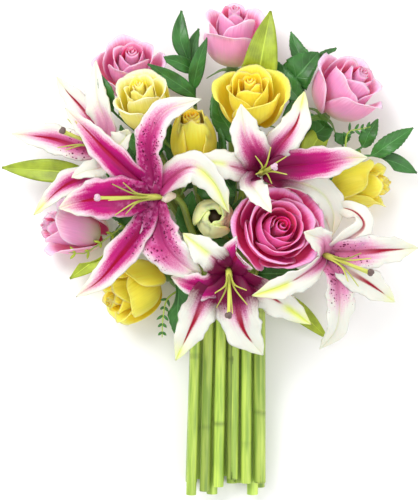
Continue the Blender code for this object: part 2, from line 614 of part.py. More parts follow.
def back_leaf(stem):
    """A leaf on the hidden side of a rose stem, pointing out and down to the surface."""
    line = next(line for name, line, _ in ROUTES if name == stem)
    side = 1 if line[-1][0] < TIE_X else -1
    root = line[STRAIGHT_POINTS + int(BACK_LEAF * (BOW_POINTS - 1))]
    heading = unit(line[-1] - root)
    out = unit(np.array((heading[1] * side, -heading[0] * side, -0.5)) + 0.9 * heading)
    return leaf(stem, 10, True, [root + 12 * out, root + 28 * out + (0, 0, 3), root + 48 * out + (0, 0, -2)])


def twig(stem, points):
    line = smooth_curve([nearest_on(stem, points[0]), *points], 5)
    return tube(line, (1.1, 1.0, 0.9, 0.8, 0.8, 0.9), 3)


def stem_body(stem):
    shapes = stem_tubes(stem)
    if stem.startswith("stem_rose"):
        shapes.append(calyx(stem.replace("stem_", "")))
        shapes.append(back_leaf(stem))
    shapes += [leaf(*row) for row in LEAVES if row[0] == stem]
    shapes += [twig(*row) for row in TWIGS if row[0] == stem]
    return shapes


def band():
    """A flat band round the packed stems: a closed ring with the outline of the bundle."""
    spots = []
    for _, line, radii in ROUTES:
        place = STRAIGHT_POINTS
        for angle in np.linspace(0, 2 * math.pi, 24, endpoint=False):
            spots.append((line[place][0] + (radii[place] + BAND_ROOM) * math.cos(angle),
                          line[place][2] + (radii[place] + BAND_ROOM) * math.sin(angle)))
    outline = hull(spots)
    middle = np.mean(outline, axis=0)
    outer = outline + BAND_THICK * (outline - middle) / np.linalg.norm(outline - middle, axis=1)[:, None]
    rings = []
    for loop, y in ((outline, -0.5), (outer, -0.5), (outer, 0.5), (outline, 0.5)):
        rings.append([(x, TIE_Y + y * BAND_WIDTH, z) for x, z in loop])
    points = np.array(rings).reshape(-1, 3)
    count = len(outline)
    faces = []
    for ring in range(4):
        for i in range(count):
            a, b = ring * count + i, ring * count + (i + 1) % count
            c, d = (a + count) % (4 * count), (b + count) % (4 * count)
            faces += [(a, b, d), (a, d, c)]
    return [(points, faces)]


def hull(spots):
    """The points round the outside of SPOTS, thinned to a step of at least 3 mm."""
    spots = sorted(set((round(x, 3), round(z, 3)) for x, z in spots))
    chain = []
    for row in (spots, spots[::-1]):
        part = []
        for spot in row:
            while len(part) > 1 and turn_of(part[-2], part[-1], spot) <= 0:
                part.pop()
            part.append(spot)
        chain += part[:-1]
    kept = [chain[0]]
    for spot in chain[1:]:
        if math.dist(spot, kept[-1]) > 3.0:
            kept.append(spot)
    return np.array(kept)


def turn_of(a, b, c):
    return (b[0] - a[0]) * (c[1] - a[1]) - (b[1] - a[1]) * (c[0] - a[0])


# Blender objects
def material(name, colour, roughness=0.5):
    made = bpy.data.materials.get(name)
    if made is None:
        made = bpy.data.materials.new(name)
        made.use_nodes = True
        surface = made.node_tree.nodes["Principled BSDF"]
        surface.inputs["Base Color"].default_value = (*colour, 1.0)
        surface.inputs["Roughness"].default_value = roughness
        surface.inputs["Metallic"].default_value = 0.0
    return made


def mesh_of(name, points, faces):
    mesh = bpy.data.meshes.new(name)
    mesh.from_pydata((points * MM).tolist(), [], [tuple(face) for face in faces])
    shell = bmesh.new()
    shell.from_mesh(mesh)
    bmesh.ops.recalc_face_normals(shell, faces=shell.faces)
    shell.to_mesh(mesh)
    shell.free()
    return mesh


def is_closed(mesh):
    shell = bmesh.new()
    shell.from_mesh(mesh)
    good = bool(shell.faces) and all(edge.is_manifold for edge in shell.edges)
    shell.free()
    return good


def combined(body, operation, pieces, solvers=("EXACT", "MANIFOLD")):
    """BODY's mesh after one Boolean with PIECES, which are removed."""
    group = bpy.data.collections.new("pieces")
    bpy.context.scene.collection.children.link(group)
    for mesh in pieces:
        group.objects.link(bpy.data.objects.new("piece", mesh))
    step = body.modifiers.new("step", "BOOLEAN")
    step.operand_type = "COLLECTION"
    step.collection = group
    step.operation = operation
    made = None
    for solver in solvers:
        step.solver = solver
        bpy.context.view_layer.update()
        seen = body.evaluated_get(bpy.context.evaluated_depsgraph_get())
        made = bpy.data.meshes.new_from_object(seen)
        if is_closed(made):
            break
    body.modifiers.clear()
    for piece in list(group.objects):
        bpy.data.objects.remove(piece, do_unlink=True)
    bpy.data.collections.remove(group)
    return made


def largest_body(mesh):
    """Drops every loose scrap, keeping the largest connected body, as triangles."""
    shell = bmesh.new()
    shell.from_mesh(mesh)
    bmesh.ops.triangulate(shell, faces=shell.faces)
    left = set(shell.faces)
    bodies = []
    while left:
        stack = [left.pop()]
        body = set(stack)
        while stack:
            for edge in stack.pop().edges:
                for face in edge.link_faces:
                    if face in left:
                        left.discard(face)
                        body.add(face)
                        stack.append(face)
        bodies.append(body)
    biggest = max(bodies, key=lambda body: sum(face.calc_area() for face in body))
    scraps = [face for body in bodies if body is not biggest for face in body]
    bmesh.ops.delete(shell, geom=scraps, context="FACES")
    shell.to_mesh(mesh)
    shell.free()
    return mesh


def add_node(name, shapes, colour, roughness=0.5):
    node = bpy.data.objects.new(name, mesh_of(name, *shapes[0]))
    bpy.context.scene.collection.objects.link(node)
    if len(shapes) > 1:
        node.data = combined(node, "UNION", [mesh_of("piece", *shape) for shape in shapes[1:]])
    node.data = largest_body(node.data)
    node.data.name = name
    node.data.materials.clear()
    node.data.materials.append(material(name, colour, roughness))
    return node


def grown(node, reach):
    """A copy of NODE's mesh with its faces REACH millimetres further out."""
    shell = bmesh.new()
    shell.from_mesh(node.data)
    bmesh.ops.recalc_face_normals(shell, faces=shell.faces)
    shell.normal_update()
    for vertex in shell.verts:
        vertex.co += vertex.normal * reach * MM
    mesh = bpy.data.meshes.new("grown")
    shell.to_mesh(mesh)
    shell.free()
    return mesh


def tree_of(mesh):
    return BVHTree.FromPolygons([v.co for v in mesh.vertices], [p.vertices for p in mesh.polygons])


def give_way(node, others):
    """NODE cut back by CUT_GAP wherever it comes nearer than that to one of OTHERS."""
    skin = node.data.materials[0]
    for reach in (CUT_GAP, 0.5 * CUT_GAP, 0.0):
        tree = tree_of(node.data)
        pieces = [grown(other, reach) for other in others]
        pieces = [piece for piece in pieces if tree.overlap(tree_of(piece))]
        if pieces:
            node.data = largest_body(combined(node, "DIFFERENCE", pieces, ("MANIFOLD", "EXACT")))
            node.data.name = node.name
            node.data.materials.clear()
            node.data.materials.append(skin)


def flatten_rest(node):
    """The part of NODE below the surface is cut away, which leaves a small flat spot."""
    shell = bmesh.new()
    shell.from_mesh(node.data)
    if min(vertex.co.z for vertex in shell.verts) < 0.0:
        cut = bmesh.ops.bisect_plane(shell, geom=shell.verts[:] + shell.edges[:] + shell.faces[:],
                                     plane_co=(0, 0, 0), plane_no=(0, 0, -1), clear_outer=True)
        edges = [item for item in cut["geom_cut"] if isinstance(item, bmesh.types.BMEdge)]
        bmesh.ops.triangle_fill(shell, edges=edges, use_beauty=True, use_dissolve=False)
        bmesh.ops.recalc_face_normals(shell, faces=shell.faces)
        shell.to_mesh(node.data)
    shell.free()


def build():
    clear_scene()
    nodes = []
    for rose, row in ROSES.items():
        nodes.append(add_node(rose, rose_bloom(rose), row[7]))
    for lily in LILIES:
        nodes.append(add_node(lily, lily_bloom(lily), LILY_PINK))
    nodes.append(add_node("lily_bud", bud_bloom(), BUD_CREAM))
    for stem in sorted(LILY_STEMS):
        nodes.append(add_node(stem, stem_body(stem), LEAF_LIGHT))
    for rose in ROSES:
        nodes.append(add_node("stem_" + rose, stem_body("stem_" + rose), CALYX_GREEN))
    for lily in LILIES:
        nodes.append(add_node("filaments_" + lily, filaments(lily), FILAMENT_GREEN))
    for stem in sorted(GREEN_ENDS):
        nodes.append(add_node(stem, stem_body(stem), LEAF_DARK))
    nodes.append(add_node("tie_band", band(), BAND_TAN, 0.7))
    for i, node in enumerate(nodes):
        give_way(node, nodes[:i])
    for node in nodes:
        flatten_rest(node)


build()
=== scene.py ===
"""Rose and lily bouquet: a hand-tied bunch of roses and pink oriental lilies, lying on its side."""

import math
import random

import bpy
import numpy as np
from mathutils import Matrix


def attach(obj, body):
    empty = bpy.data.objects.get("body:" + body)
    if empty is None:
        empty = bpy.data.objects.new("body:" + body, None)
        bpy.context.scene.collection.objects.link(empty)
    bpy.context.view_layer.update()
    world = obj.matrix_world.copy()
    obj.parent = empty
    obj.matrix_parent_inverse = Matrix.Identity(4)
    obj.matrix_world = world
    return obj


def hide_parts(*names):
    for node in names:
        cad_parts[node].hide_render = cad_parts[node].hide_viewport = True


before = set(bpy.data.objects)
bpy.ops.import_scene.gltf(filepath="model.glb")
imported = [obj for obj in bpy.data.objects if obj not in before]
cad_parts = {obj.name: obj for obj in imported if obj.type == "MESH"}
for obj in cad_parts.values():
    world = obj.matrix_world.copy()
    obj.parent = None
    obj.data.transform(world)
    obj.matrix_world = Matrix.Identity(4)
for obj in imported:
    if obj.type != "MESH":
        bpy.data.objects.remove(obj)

bl_info = {
    "name": "Rose and lily bouquet",
    "version": (1, 0, 0),
    "blender": (4, 5, 0),
    "location": "View3D > Sidebar > Bouquet",
    "description": "Builds a hand-tied bunch of roses and lilies on a pale floor",
    "category": "Object",
}

# Sizes in the tables are millimetres
MM = 0.001
ROOT = "root"

# Each rose: head centre, facing, radius, height, openness, petals, first angle, variety
ROSES = {
    "rose_1": ((-72, 168, 42), (0.02, 0.66, 0.75), 34, 54, 0.85, 8, 20, "pink"),
    "rose_2": ((22, 199, 44), (0.02, 0.86, 0.51), 31, 64, 0.80, 7, 75, "pink"),
    "rose_3": ((127, 147, 42), (0.56, 0.62, 0.55), 36, 65, 0.85, 8, 10, "pink"),
    "rose_4": ((-126, 18, 24.9), (-0.94, 0.16, 0.30), 28, 72, 0.70, 7, 200, "pink"),
    "rose_5": ((60, 17, 88), (0.26, 0.26, 0.93), 44, 54, 1.00, 13, 40, "hot_pink"),
    "rose_6": ((-60, 132, 90), (-0.16, 0.66, 0.73), 29, 62, 0.80, 8, 260, "pale_yellow"),
    "rose_7": ((37, 136, 84), (-0.05, 0.68, 0.73), 34, 60, 0.90, 8, 200, "yellow"),
    "rose_8": ((-15, 101, 82), (-0.03, 0.78, 0.62), 27, 63, 0.30, 7, 180, "golden"),
    "rose_9": ((137, 60, 24.1), (0.94, 0.10, 0.30), 27, 73, 0.70, 7, 270, "yellow"),
    "rose_10": ((-69, -38, 42), (-0.80, -0.38, 0.46), 32, 69, 0.80, 8, 150, "yellow"),
}
HEAD_HALF, BARREL, TEPAL_MARGIN, LEAF_MARGIN = 0.52, 2.6, 2.2, 1.6
GOLDEN_ANGLE = 137.5
# Least lengths that a vector is divided by
TINY, SMALL = 1e-9, 1e-6
# Shift of the grain from one blade to the next, and the place of a rose's heart in that row
SEED_STEP, HEART_SEED = 37.0, 40.0
# Grain round and along a turned form
TURNED_SPREAD = (20.0, 40.0)
# Where a rose petal, and a bud's petal, starts to roll back, as a share of its length
ROLL_START, BUD_ROLL_START = 0.76, 0.93
# Shares of the extra petals near the heart
INNER_SHARES = (0.29, 0.17, 0.06)
# Turns of the furled heart, and its reach as a share of the rose's radius
HEART_TURNS, HEART_REACH = 2.4, 0.17
# A rose less open than this is a bud: a wider heart inside petals of these shares and angles
BUD_OPENNESS, BUD_HEART = 0.5, (2.9, 0.31)
BUD_PETALS = ((1.0, 177), (0.93, 3), (0.90, 268), (0.84, 90), (0.80, 205), (0.76, 335))
# How far the sides of a petal drop, as a share of its length, and of a petal inside a bud
SIDE_DROP, BUD_DROP = 0.32, 0.10
# How much higher than its outer turn the middle of a heart stands, as a share of the rose's height
HEART_CONE = 0.045

# Each lily: throat, facing, stigma, and its six tepals (half width, points out to the tip)
LILIES = {
    "lily_1": ((-45, 48, 104), (-0.74, -0.06, 0.62), (-99, 46, 140), (
        (15, ((-53, 82, 112), (-51, 104, 120), (-38, 124, 122), (-7, 135, 116))),
        (14, ((-68, 67, 103), (-91, 88, 101), (-114, 112, 94), (-131, 129, 86))),
        (19, ((-66, 48, 104), (-92, 47, 98), (-116, 44, 87), (-138, 38, 76))),
        (15, ((-60, 20, 100), (-78, -3, 92), (-99, -27, 84), (-122, -43, 74))),
        (21, ((-45, 22, 106), (-40, 5, 107), (-28, -9, 104), (-6, -26, 94))),
        (15, ((-32, 66, 112), (-14, 74, 122), (4, 60, 120), (18, 33, 110))),
    )),
    "lily_2": ((-93, 92, 64), (-0.80, 0.28, 0.53), (-133, 108, 92), (
        (13, ((-94, 116, 72), (-102, 138, 74), (-104, 174, 68))),
        (12, ((-114, 127, 60), (-131, 146, 52), (-142, 161, 44))),
        (14, ((-117, 94, 60), (-146, 103, 52), (-184, 108, 40))),
        (13, ((-108, 70, 66), (-135, 57, 63), (-162, 32, 58))),
        (11, ((-98, 76, 74), (-112, 72, 78), (-126, 66, 76))),
        (13, ((-86, 92, 84), (-76, 101, 94), (-70, 114, 102))),
    )),
    "lily_3": ((46, 69, 100), (0.18, 0.12, 0.97), (57, 73, 150), (
        (16, ((40, 86, 112), (32, 103, 120), (28, 130, 124))),
        (14, ((61, 92, 104), (78, 114, 98), (86, 144, 88))),
        (15, ((68, 75, 106), (99, 78, 104), (125, 83, 94), (144, 84, 84))),
        (16, ((70, 64, 94), (99, 54, 82), (113, 34, 72), (112, 12, 66))),
        (11, ((37, 60, 112), (44, 49, 124), (55, 33, 130))),
        (13, ((27, 73, 110), (5, 78, 116), (-20, 76, 116))),
    )),
    "lily_4": ((17, -18, 96), (0.05, -0.55, 0.83), (17, -58, 130), (
        (16, ((-4, -42, 98), (-15, -66, 88), (-31, -101, 72))),
        (19, ((23, -43, 102), (31, -72, 90), (49, -96, 74))),
        (15, ((39, -33, 96), (62, -46, 86), (93, -68, 72))),
        (17, ((22, -9, 106), (28, 0, 108), (37, 7, 100))),
        (14, ((4, -7, 112), (-10, 4, 118), (-24, 15, 116))),
        (13, ((1, -32, 102), (-15, -31, 97), (-35, -24, 90))),
    )),
    "lily_5": ((104, -4, 84), (0.66, -0.30, 0.69), (144, -20, 118), (
        (15, ((125, -2, 92), (160, 0, 80), (192, 2, 62))),
        (14, ((126, -19, 84), (148, -32, 74), (171, -48, 56))),
        (15, ((114, -21, 88), (118, -46, 78), (116, -72, 62), (102, -92, 44))),
        (13, ((92, -17, 96), (68, -31, 104), (38, -41, 108))),
        (12, ((100, 8, 98), (94, 12, 108), (84, 16, 118))),
        (12, ((124, 9, 94), (139, 22, 90), (130, 36, 78), (106, 41, 68))),
    )),
}
# Marks of each tepal: reach of the wash, its width, reach of the stripe, reach of the spots, yellow of the
# tip, paleness of the wash
MARKS = {
    "lily_1": ((0.70, 0.92, 0.00, 0.74, 0.0, 0.10), (0.78, 0.95, 0.86, 0.15, 0.1, 0.00),
               (0.86, 1.05, 0.80, 0.50, 0.1, 0.00), (0.84, 0.80, 0.90, 0.55, 0.1, 0.05),
               (0.74, 0.92, 0.00, 0.80, 0.0, 0.22), (0.42, 0.60, 0.50, 0.10, 0.8, 0.20)),
    "lily_2": ((0.40, 1.10, 0.00, 0.00, 0.0, 1.00), (0.50, 0.50, 0.86, 0.20, 0.2, 0.30),
               (0.80, 0.55, 0.82, 0.60, 0.1, 0.40), (0.75, 0.70, 0.84, 0.20, 0.9, 0.10),
               (0.40, 0.60, 0.00, 0.00, 0.0, 0.80), (0.30, 0.80, 0.00, 0.00, 0.2, 0.90)),
    "lily_3": ((0.60, 0.80, 0.00, 0.45, 0.0, 0.15), (0.55, 0.60, 0.80, 0.30, 0.8, 0.10),
               (0.78, 1.00, 0.45, 0.30, 0.3, 0.00), (0.30, 0.60, 0.00, 0.10, 0.1, 0.80),
               (0.35, 0.90, 0.00, 0.00, 0.0, 0.80), (0.38, 0.45, 0.50, 0.00, 0.6, 0.30)),
    "lily_4": ((0.48, 0.50, 0.86, 0.20, 0.9, 0.00), (0.50, 0.66, 0.84, 0.50, 0.0, 0.00),
               (0.35, 0.60, 0.66, 0.10, 1.0, 0.00), (0.90, 0.95, 0.60, 0.00, 0.0, 0.00),
               (0.35, 0.40, 0.50, 0.00, 0.7, 0.20), (0.88, 0.90, 0.60, 0.20, 0.0, 0.00)),
    "lily_5": ((0.52, 0.85, 0.88, 0.58, 0.2, 0.80), (0.20, 0.45, 0.86, 0.00, 0.5, 0.60),
               (0.42, 0.75, 0.00, 0.60, 0.0, 0.70), (0.35, 0.40, 0.56, 0.10, 1.0, 0.50),
               (0.50, 0.80, 0.00, 0.00, 0.0, 0.90), (0.25, 0.40, 0.86, 0.10, 0.2, 0.70)),
}
LILY_TUBE, LILY_TUBE_RADIUS, TUBE_FOOT = 13.0, 7.0, 2.4
# How far a tepal's face is turned from the lily's own facing to straight up, and how high its waves are
TEPAL_UP, TEPAL_WAVE = 0.6, 1.8
HUB_LIFT = 9.9
FILAMENT_BEND, FILAMENT_END = (18.0, 5.0), (36.0, 16.0)
STIGMA_RADIUS = 3.6
PALE_STIGMAS = ("lily_1", "lily_3")
# How much shade is painted in the throat: 0 is none, and past 1 the painted shade reaches further out
THROAT_SHADES = {"lily_1": 0.3, "lily_2": 0.2, "lily_3": 1.1, "lily_4": 1.9, "lily_5": 0.2}
BUD_BASE, BUD_FACING, BUD_RADIUS, BUD_HEIGHT = (3, 28, 50), (0.03, 0.06, 1.0), 18.0, 47.0
SLOT_SEED, PAPILLA_SEEDS = 11, (4, 9)

# Bundle of stems: columns across, rows upwards, at the tie and at the cut ends
TIE_Y, TIE_X, TIE_Z, TIE_PITCH = -42.0, 17.0, 19.0, 11.75
END_Y, END_X, END_Z, END_PITCH = -229.0, 15.0, 4.6, 12.9
ROW_RISE = 0.87
STEM_RADIUS, NECK_RADIUS, LILY_NECK, TWIG_END = 5.5, 3.4, 3.0, 1.6
BAND_WIDTH, BAND_THICK, BAND_ROOM = 6.0, 1.8, 1.35
# Metres along a stem over which it goes from the bare part to the part between the flowers, which is darkened
# with painted shade
SHADED = (0.18, 0.23)
LEAF_CLEAR, GAP = 1.6, 0.35
STRAIGHT_POINTS, BOW_POINTS = 9, 24
HOLD_AT_TIE, HOLD_AT_HEAD = 3, 2
CALYX_FOOT, CALYX_RADIUS, CALYX_TURN, CALYX_DEPTH = 14.0, 6.0, 0.4, 9.0
# Points along a sepal: how far out from the rose's axis, and how high over the rose's seat
SEPAL = ((3.5, -4.5), (8.0, -4.4), (12.5, -6.5), (19.0, -11.0), (25.0, -15.5))
# Rounds in which the stems make room for each other, the last ones without smoothing, and the longest step
RELAX_ROUNDS, LAST_ROUNDS, MOST_STEP = 160, 12, 3.0
# Room from stem to stem, and from a stem to a tepal
STEM_ROOM, TEPAL_ROOM = 0.6, 2.4
# How far out and along the stem the section of the band goes, as shares of its thickness and width
BAND_SECTION = ((0.0, -0.5), (0.5, -0.5), (0.9, -0.42), (1.0, -0.30),
                (1.0, 0.30), (0.9, 0.42), (0.5, 0.5), (0.0, 0.5))
SLOTS = (
    ("stem_rose_4", "stem_rose_1", "greens_1", "stem_rose_2", "stem_rose_3", "greens_3"),
    ("greens_4", "stem_rose_6", "stem_rose_7", "greens_2", "stem_rose_9"),
    ("stem_rose_10", "stem_lily_1", "stem_rose_8", "stem_lily_3", "stem_rose_5", "stem_lily_2"),
)
LILY_STEMS = {
    "stem_lily_1": ("lily_1", "lily_2"),
    "stem_lily_2": ("lily_3", "lily_bud"),
    "stem_lily_3": ("lily_4", "lily_5"),
}
GREEN_ENDS = {
    "greens_1": ((-15, 150, 44), (0.0, 1.0, 0.15)),
    "greens_2": ((84, 128, 50), (0.35, 0.9, 0.1)),
    "greens_3": ((141, 92, 34), (0.6, 0.75, 0.1)),
    "greens_4": ((-100, 52, 40), (-0.8, 0.5, 0.1)),
}
# Leaves: stem, half width, toothed, points out to the tip
LEAVES = (
    ("stem_lily_1", 11, False, ((-113, 72, 46), (-153, 74, 42), (-194, 77, 30))),
    ("stem_lily_1", 9, False, ((-87, 7, 30), (-107, -9, 28), (-131, -27, 22))),
    ("stem_lily_2", 16, False, ((41, 129, 52), (48, 178, 72), (56, 219, 70))),
    ("stem_lily_2", 11, False, ((85, 78, 56), (98, 100, 50), (112, 121, 36))),
    ("stem_lily_3", 9, False, ((56, -40, 26), (84, -58, 18), (112, -84, 14))),
    ("stem_rose_10", 12, True, ((-27, -17, 44), (-29, -46, 42), (-31, -82, 30))),
    ("stem_rose_6", 7, True, ((-88, 127, 66), (-94, 144, 76), (-102, 163, 72))),
    ("greens_1", 8, False, ((-20, 174, 46), (-27, 196, 50), (-26, 222, 46))),
    ("greens_1", 6, False, ((-16, 173, 40), (-15, 191, 36), (-10, 207, 30))),
    ("greens_1", 7, False, ((-15, 163, 48), (-29, 173, 56), (-45, 177, 58))),
    ("greens_1", 7, False, ((-15, 148, 50), (-10, 173, 60), (-2, 195, 66))),
    ("greens_1", 8, False, ((-14, 142, 52), (-34, 156, 60), (-57, 170, 72))),
    ("greens_2", 18, True, ((75, 149, 46), (86, 166, 52), (101, 183, 48))),
    ("greens_2", 8, True, ((96, 166, 38), (106, 177, 42), (118, 188, 40))),
    ("greens_2", 8, True, ((92, 165, 40), (82, 186, 36), (76, 204, 30))),
    ("greens_2", 11, True, ((83, 137, 50), (69, 155, 56), (56, 178, 50))),
    ("greens_2", 11, False, ((86, 135, 44), (78, 124, 56), (64, 112, 64))),
    ("greens_3", 8, True, ((124, 98, 34), (124, 108, 38), (127, 117, 34))),
    ("greens_3", 8, True, ((142, 96, 34), (148, 108, 40), (157, 122, 36))),
    ("greens_3", 9, True, ((150, 88, 36), (166, 98, 42), (190, 114, 34))),
    ("greens_3", 8, False, ((153, 86, 34), (172, 82, 36), (194, 72, 28))),
    ("greens_4", 9, True, ((-110, 52, 36), (-128, 54, 28), (-150, 52, 18))),
    ("greens_4", 9, True, ((-95, 70, 26), (-104, 96, 20), (-116, 122, 12))),
    ("greens_4", 9, True, ((-80, 70, 22), (-78, 92, 16), (-84, 118, 10))),
    ("stem_rose_8", 12, True, ((-22, 84, 58), (-34, 100, 64), (-44, 120, 66))),
    ("stem_rose_8", 11, True, ((-4, 74, 58), (6, 92, 66), (10, 112, 66))),
    ("stem_rose_7", 12, True, ((28, 100, 56), (12, 122, 62), (4, 148, 60))),
    ("stem_rose_7", 12, True, ((40, 84, 50), (60, 98, 56), (72, 118, 54))),
    ("stem_rose_6", 12, True, ((-44, 92, 60), (-62, 96, 66), (-80, 108, 66))),
    ("stem_rose_6", 12, True, ((-30, 60, 52), (-52, 72, 60), (-66, 92, 60))),
    ("stem_rose_10", 12, True, ((-40, -8, 44), (-58, 8, 54), (-84, 18, 56))),
    ("greens_4", 12, True, ((-66, 30, 40), (-84, 36, 52), (-100, 36, 58))),
    ("stem_rose_5", 12, True, ((34, 8, 52), (24, 26, 66), (30, 48, 76))),
    ("stem_rose_5", 12, True, ((44, -22, 44), (66, -22, 56), (88, -22, 62))),
    ("stem_rose_9", 12, True, ((92, 40, 40), (100, 60, 50), (116, 74, 56))),
    ("stem_rose_3", 12, True, ((88, 104, 40), (104, 112, 50), (112, 126, 56))),
    ("stem_rose_8", 13, True, ((-10, 64, 54), (4, 56, 62), (24, 50, 66))),
    ("stem_rose_8", 12, True, ((-14, 14, 50), (-20, 32, 58), (-16, 54, 62))),
    ("stem_rose_5", 12, True, ((10, -12, 50), (4, 0, 58), (20, 8, 62))),
)
# Where on its stem a rose's hidden leaf sits, as a share of the way from the tie to the flower
BACK_LEAF = 0.60
# Radius of a twig at its foot and tip
TWIG_THICK = (1.1, 0.5)
# Twigs: stem, points out to the tip
TWIGS = (
    ("stem_rose_10", ((-38, -44, 40), (-43, -62, 44), (-44, -81, 42))),
    ("stem_lily_1", ((-108, 2, 34), (-122, -3, 38), (-133, -2, 34))),
    ("greens_2", ((76, 118, 58), (86, 120, 66), (93, 126, 64))),
    ("greens_3", ((128, 108, 46), (140, 112, 48), (149, 114, 46))),
)


# Settings
def linear(colour):
    """Scene-linear values of a display colour."""
    return tuple(c / 12.92 if c <= 0.04045 else ((c + 0.055) / 1.055)**2.4 for c in colour)


def tint(name, description, value):
    return bpy.props.FloatVectorProperty(name=name, description=description, subtype="COLOR", size=3,
                                         min=0.0, max=1.0, default=linear(value))


def length(name, description, value):
    return bpy.props.FloatProperty(name=name, description=description, unit="LENGTH", min=0.0,
                                   precision=5, default=value * MM)


def amount(name, description, value, most=1.0):
    return bpy.props.FloatProperty(name=name, description=description, subtype="FACTOR", min=0.0,
                                   max=most, default=value)


PETAL_PARTS = ("outside", "inside", "rim", "foot")
# Display colour of each part, by variety
PETAL_COLOURS = {
    "pink": ((0.94, 0.58, 0.75), (0.92, 0.42, 0.66), (0.97, 0.80, 0.90), (0.95, 0.87, 0.74)),
    "hot_pink": ((0.96, 0.37, 0.68), (0.95, 0.22, 0.59), (0.97, 0.68, 0.85), (0.93, 0.50, 0.62)),
    "pale_yellow": ((1.0, 0.94, 0.48), (1.0, 0.92, 0.28), (1.0, 0.98, 0.78), (0.96, 0.82, 0.35)),
    "yellow": ((1.0, 0.90, 0.27), (1.0, 0.86, 0.16), (1.0, 0.95, 0.42), (0.97, 0.80, 0.18)),
    "golden": ((1.0, 0.86, 0.20), (1.0, 0.82, 0.22), (1.0, 0.93, 0.42), (0.98, 0.72, 0.12)),
}


class RoseSettings(bpy.types.PropertyGroup):
    """Sizes and colours of the roses"""

    thickness: length("Petal thickness", "Thickness of a petal at its middle", 0.7)
    roll: bpy.props.FloatProperty(name="Rim roll", description="How far the rim of an outer petal turns back",
                                  subtype="ANGLE", min=0.0, max=math.pi, default=math.radians(118))
    wave: length("Rim wave", "Height of the waves along a petal's rim", 1.3)


for variety, colours in PETAL_COLOURS.items():
    for part, colour in zip(PETAL_PARTS, colours):
        label = variety.replace("_", " ")
        RoseSettings.__annotations__[variety + "_" + part] = tint(
            (label + " " + part).capitalize(), part.capitalize() + " of the " + label + " petals", colour)


class LilySettings(bpy.types.PropertyGroup):
    """Sizes and colours of the lilies"""

    thickness: length("Tepal thickness", "Thickness of a tepal at its middle", 1.2)
    ruffle: length("Ruffle", "Height of the small ruffles along a tepal's edge", 1.1)
    papilla: length("Papilla", "Height of the small bumps near the throat", 1.5)
    papilla_density: bpy.props.FloatProperty(name="Papilla density", min=0.0, default=38000.0,
                                             description="Bumps for each square metre of tepal")
    white: tint("White", "Edges and tips of the tepals", (0.86, 0.86, 0.82))
    blush: tint("Blush", "Soft edge of the magenta wash", (0.86, 0.50, 0.72))
    magenta: tint("Magenta", "The wash along the middle of a tepal", (0.69, 0.0, 0.43))
    deep: tint("Deep magenta", "The middle of the wash", (0.50, 0.0, 0.30))
    # The throat colour is painted shade in the hollow of the throat
    throat: tint("Throat", "The dark middle of the lily", (0.38, 0.0, 0.20))
    crimson: tint("Crimson", "The stripe along a tepal's midrib", (0.60, 0.0, 0.17))
    spot: tint("Spots", "The dark spots near the throat", (0.40, 0.0, 0.24))
    tip: tint("Tip", "The yellow-green of tips and midribs", (0.86, 0.90, 0.36))
    back: tint("Back", "The back of the tepals", (0.95, 0.87, 0.88))
    filament: tint("Filament", "Filaments and style", (0.78, 0.80, 0.36))
    stigma: tint("Stigma", "A fresh three-lobed stigma", (0.80, 0.68, 0.74))
    ripe: tint("Ripe stigma", "A ripe three-lobed stigma", (0.40, 0.32, 0.30))
    bud_green: tint("Bud green", "Foot and tips of the opening bud", (0.80, 0.92, 0.34))
    bud: tint("Bud", "The opening bud", (1.0, 1.0, 0.70))


class GreenSettings(bpy.types.PropertyGroup):
    """Sizes and colours of stems and leaves"""

    thickness: length("Leaf thickness", "Thickness of a leaf beside its midrib", 0.8)
    ridge: amount("Stem ridges", "Depth of the ridges as a share of the stem's radius", 0.03, 0.3)
    tooth: amount("Leaf teeth", "Depth of the teeth as a share of the leaf's width", 0.10, 0.5)
    stem_light: tint("Light stem", "Sunlit side of the stems", (0.71, 0.80, 0.34))
    stem_dark: tint("Dark stem", "Grooves of the stems", (0.50, 0.63, 0.23))
    stem_cut: tint("Cut end", "Cut ends of the stems", (0.86, 0.90, 0.66))
    lily_leaf: tint("Lily leaf", "The light lance-shaped leaves", (0.60, 0.67, 0.17))
    rose_leaf: tint("Rose leaf", "The dark toothed leaves", (0.20, 0.42, 0.16))
    calyx: tint("Calyx", "The calyx under a rose", (0.42, 0.58, 0.24))
    band: tint("Band", "The rubber band at the tie", (0.74, 0.62, 0.42))


class StageSettings(bpy.types.PropertyGroup):
    """Floor, lights and camera"""

    floor: tint("Floor", "Colour of the floor", (0.97, 0.97, 0.97))
    sky: amount("Sky light", "Strength of the even light from all round", 0.88, 3.0)
    key: bpy.props.FloatProperty(name="Key light", description="Power of the large lamp", unit="POWER",
                                 min=0.0, default=36.0)
    camera_height: length("Camera height", "Height of the camera over the floor", 2000.0)
    lens: bpy.props.FloatProperty(name="Lens", description="Focal length", unit="CAMERA", min=1.0,
                                  default=151.8)


# Vectors and curves
def unit(vector):
    vector = np.asarray(vector, float)
    return vector / np.linalg.norm(vector)


def rays(axis, angle):
    """Unit vectors square to AXIS, at each ANGLE round it."""
    helper = (0.0, 0.0, 1.0) if abs(axis[2]) < 0.9 else (0.0, 1.0, 0.0)
    across = unit(np.cross(helper, axis))
    angle = np.asarray(angle)[..., None]
    return np.cos(angle) * across + np.sin(angle) * np.cross(axis, across)


def distances(points):
    """How far each point is from the first, measured along the line."""
    return np.concatenate([[0.0], np.cumsum(np.linalg.norm(np.diff(points, axis=0), axis=1))])


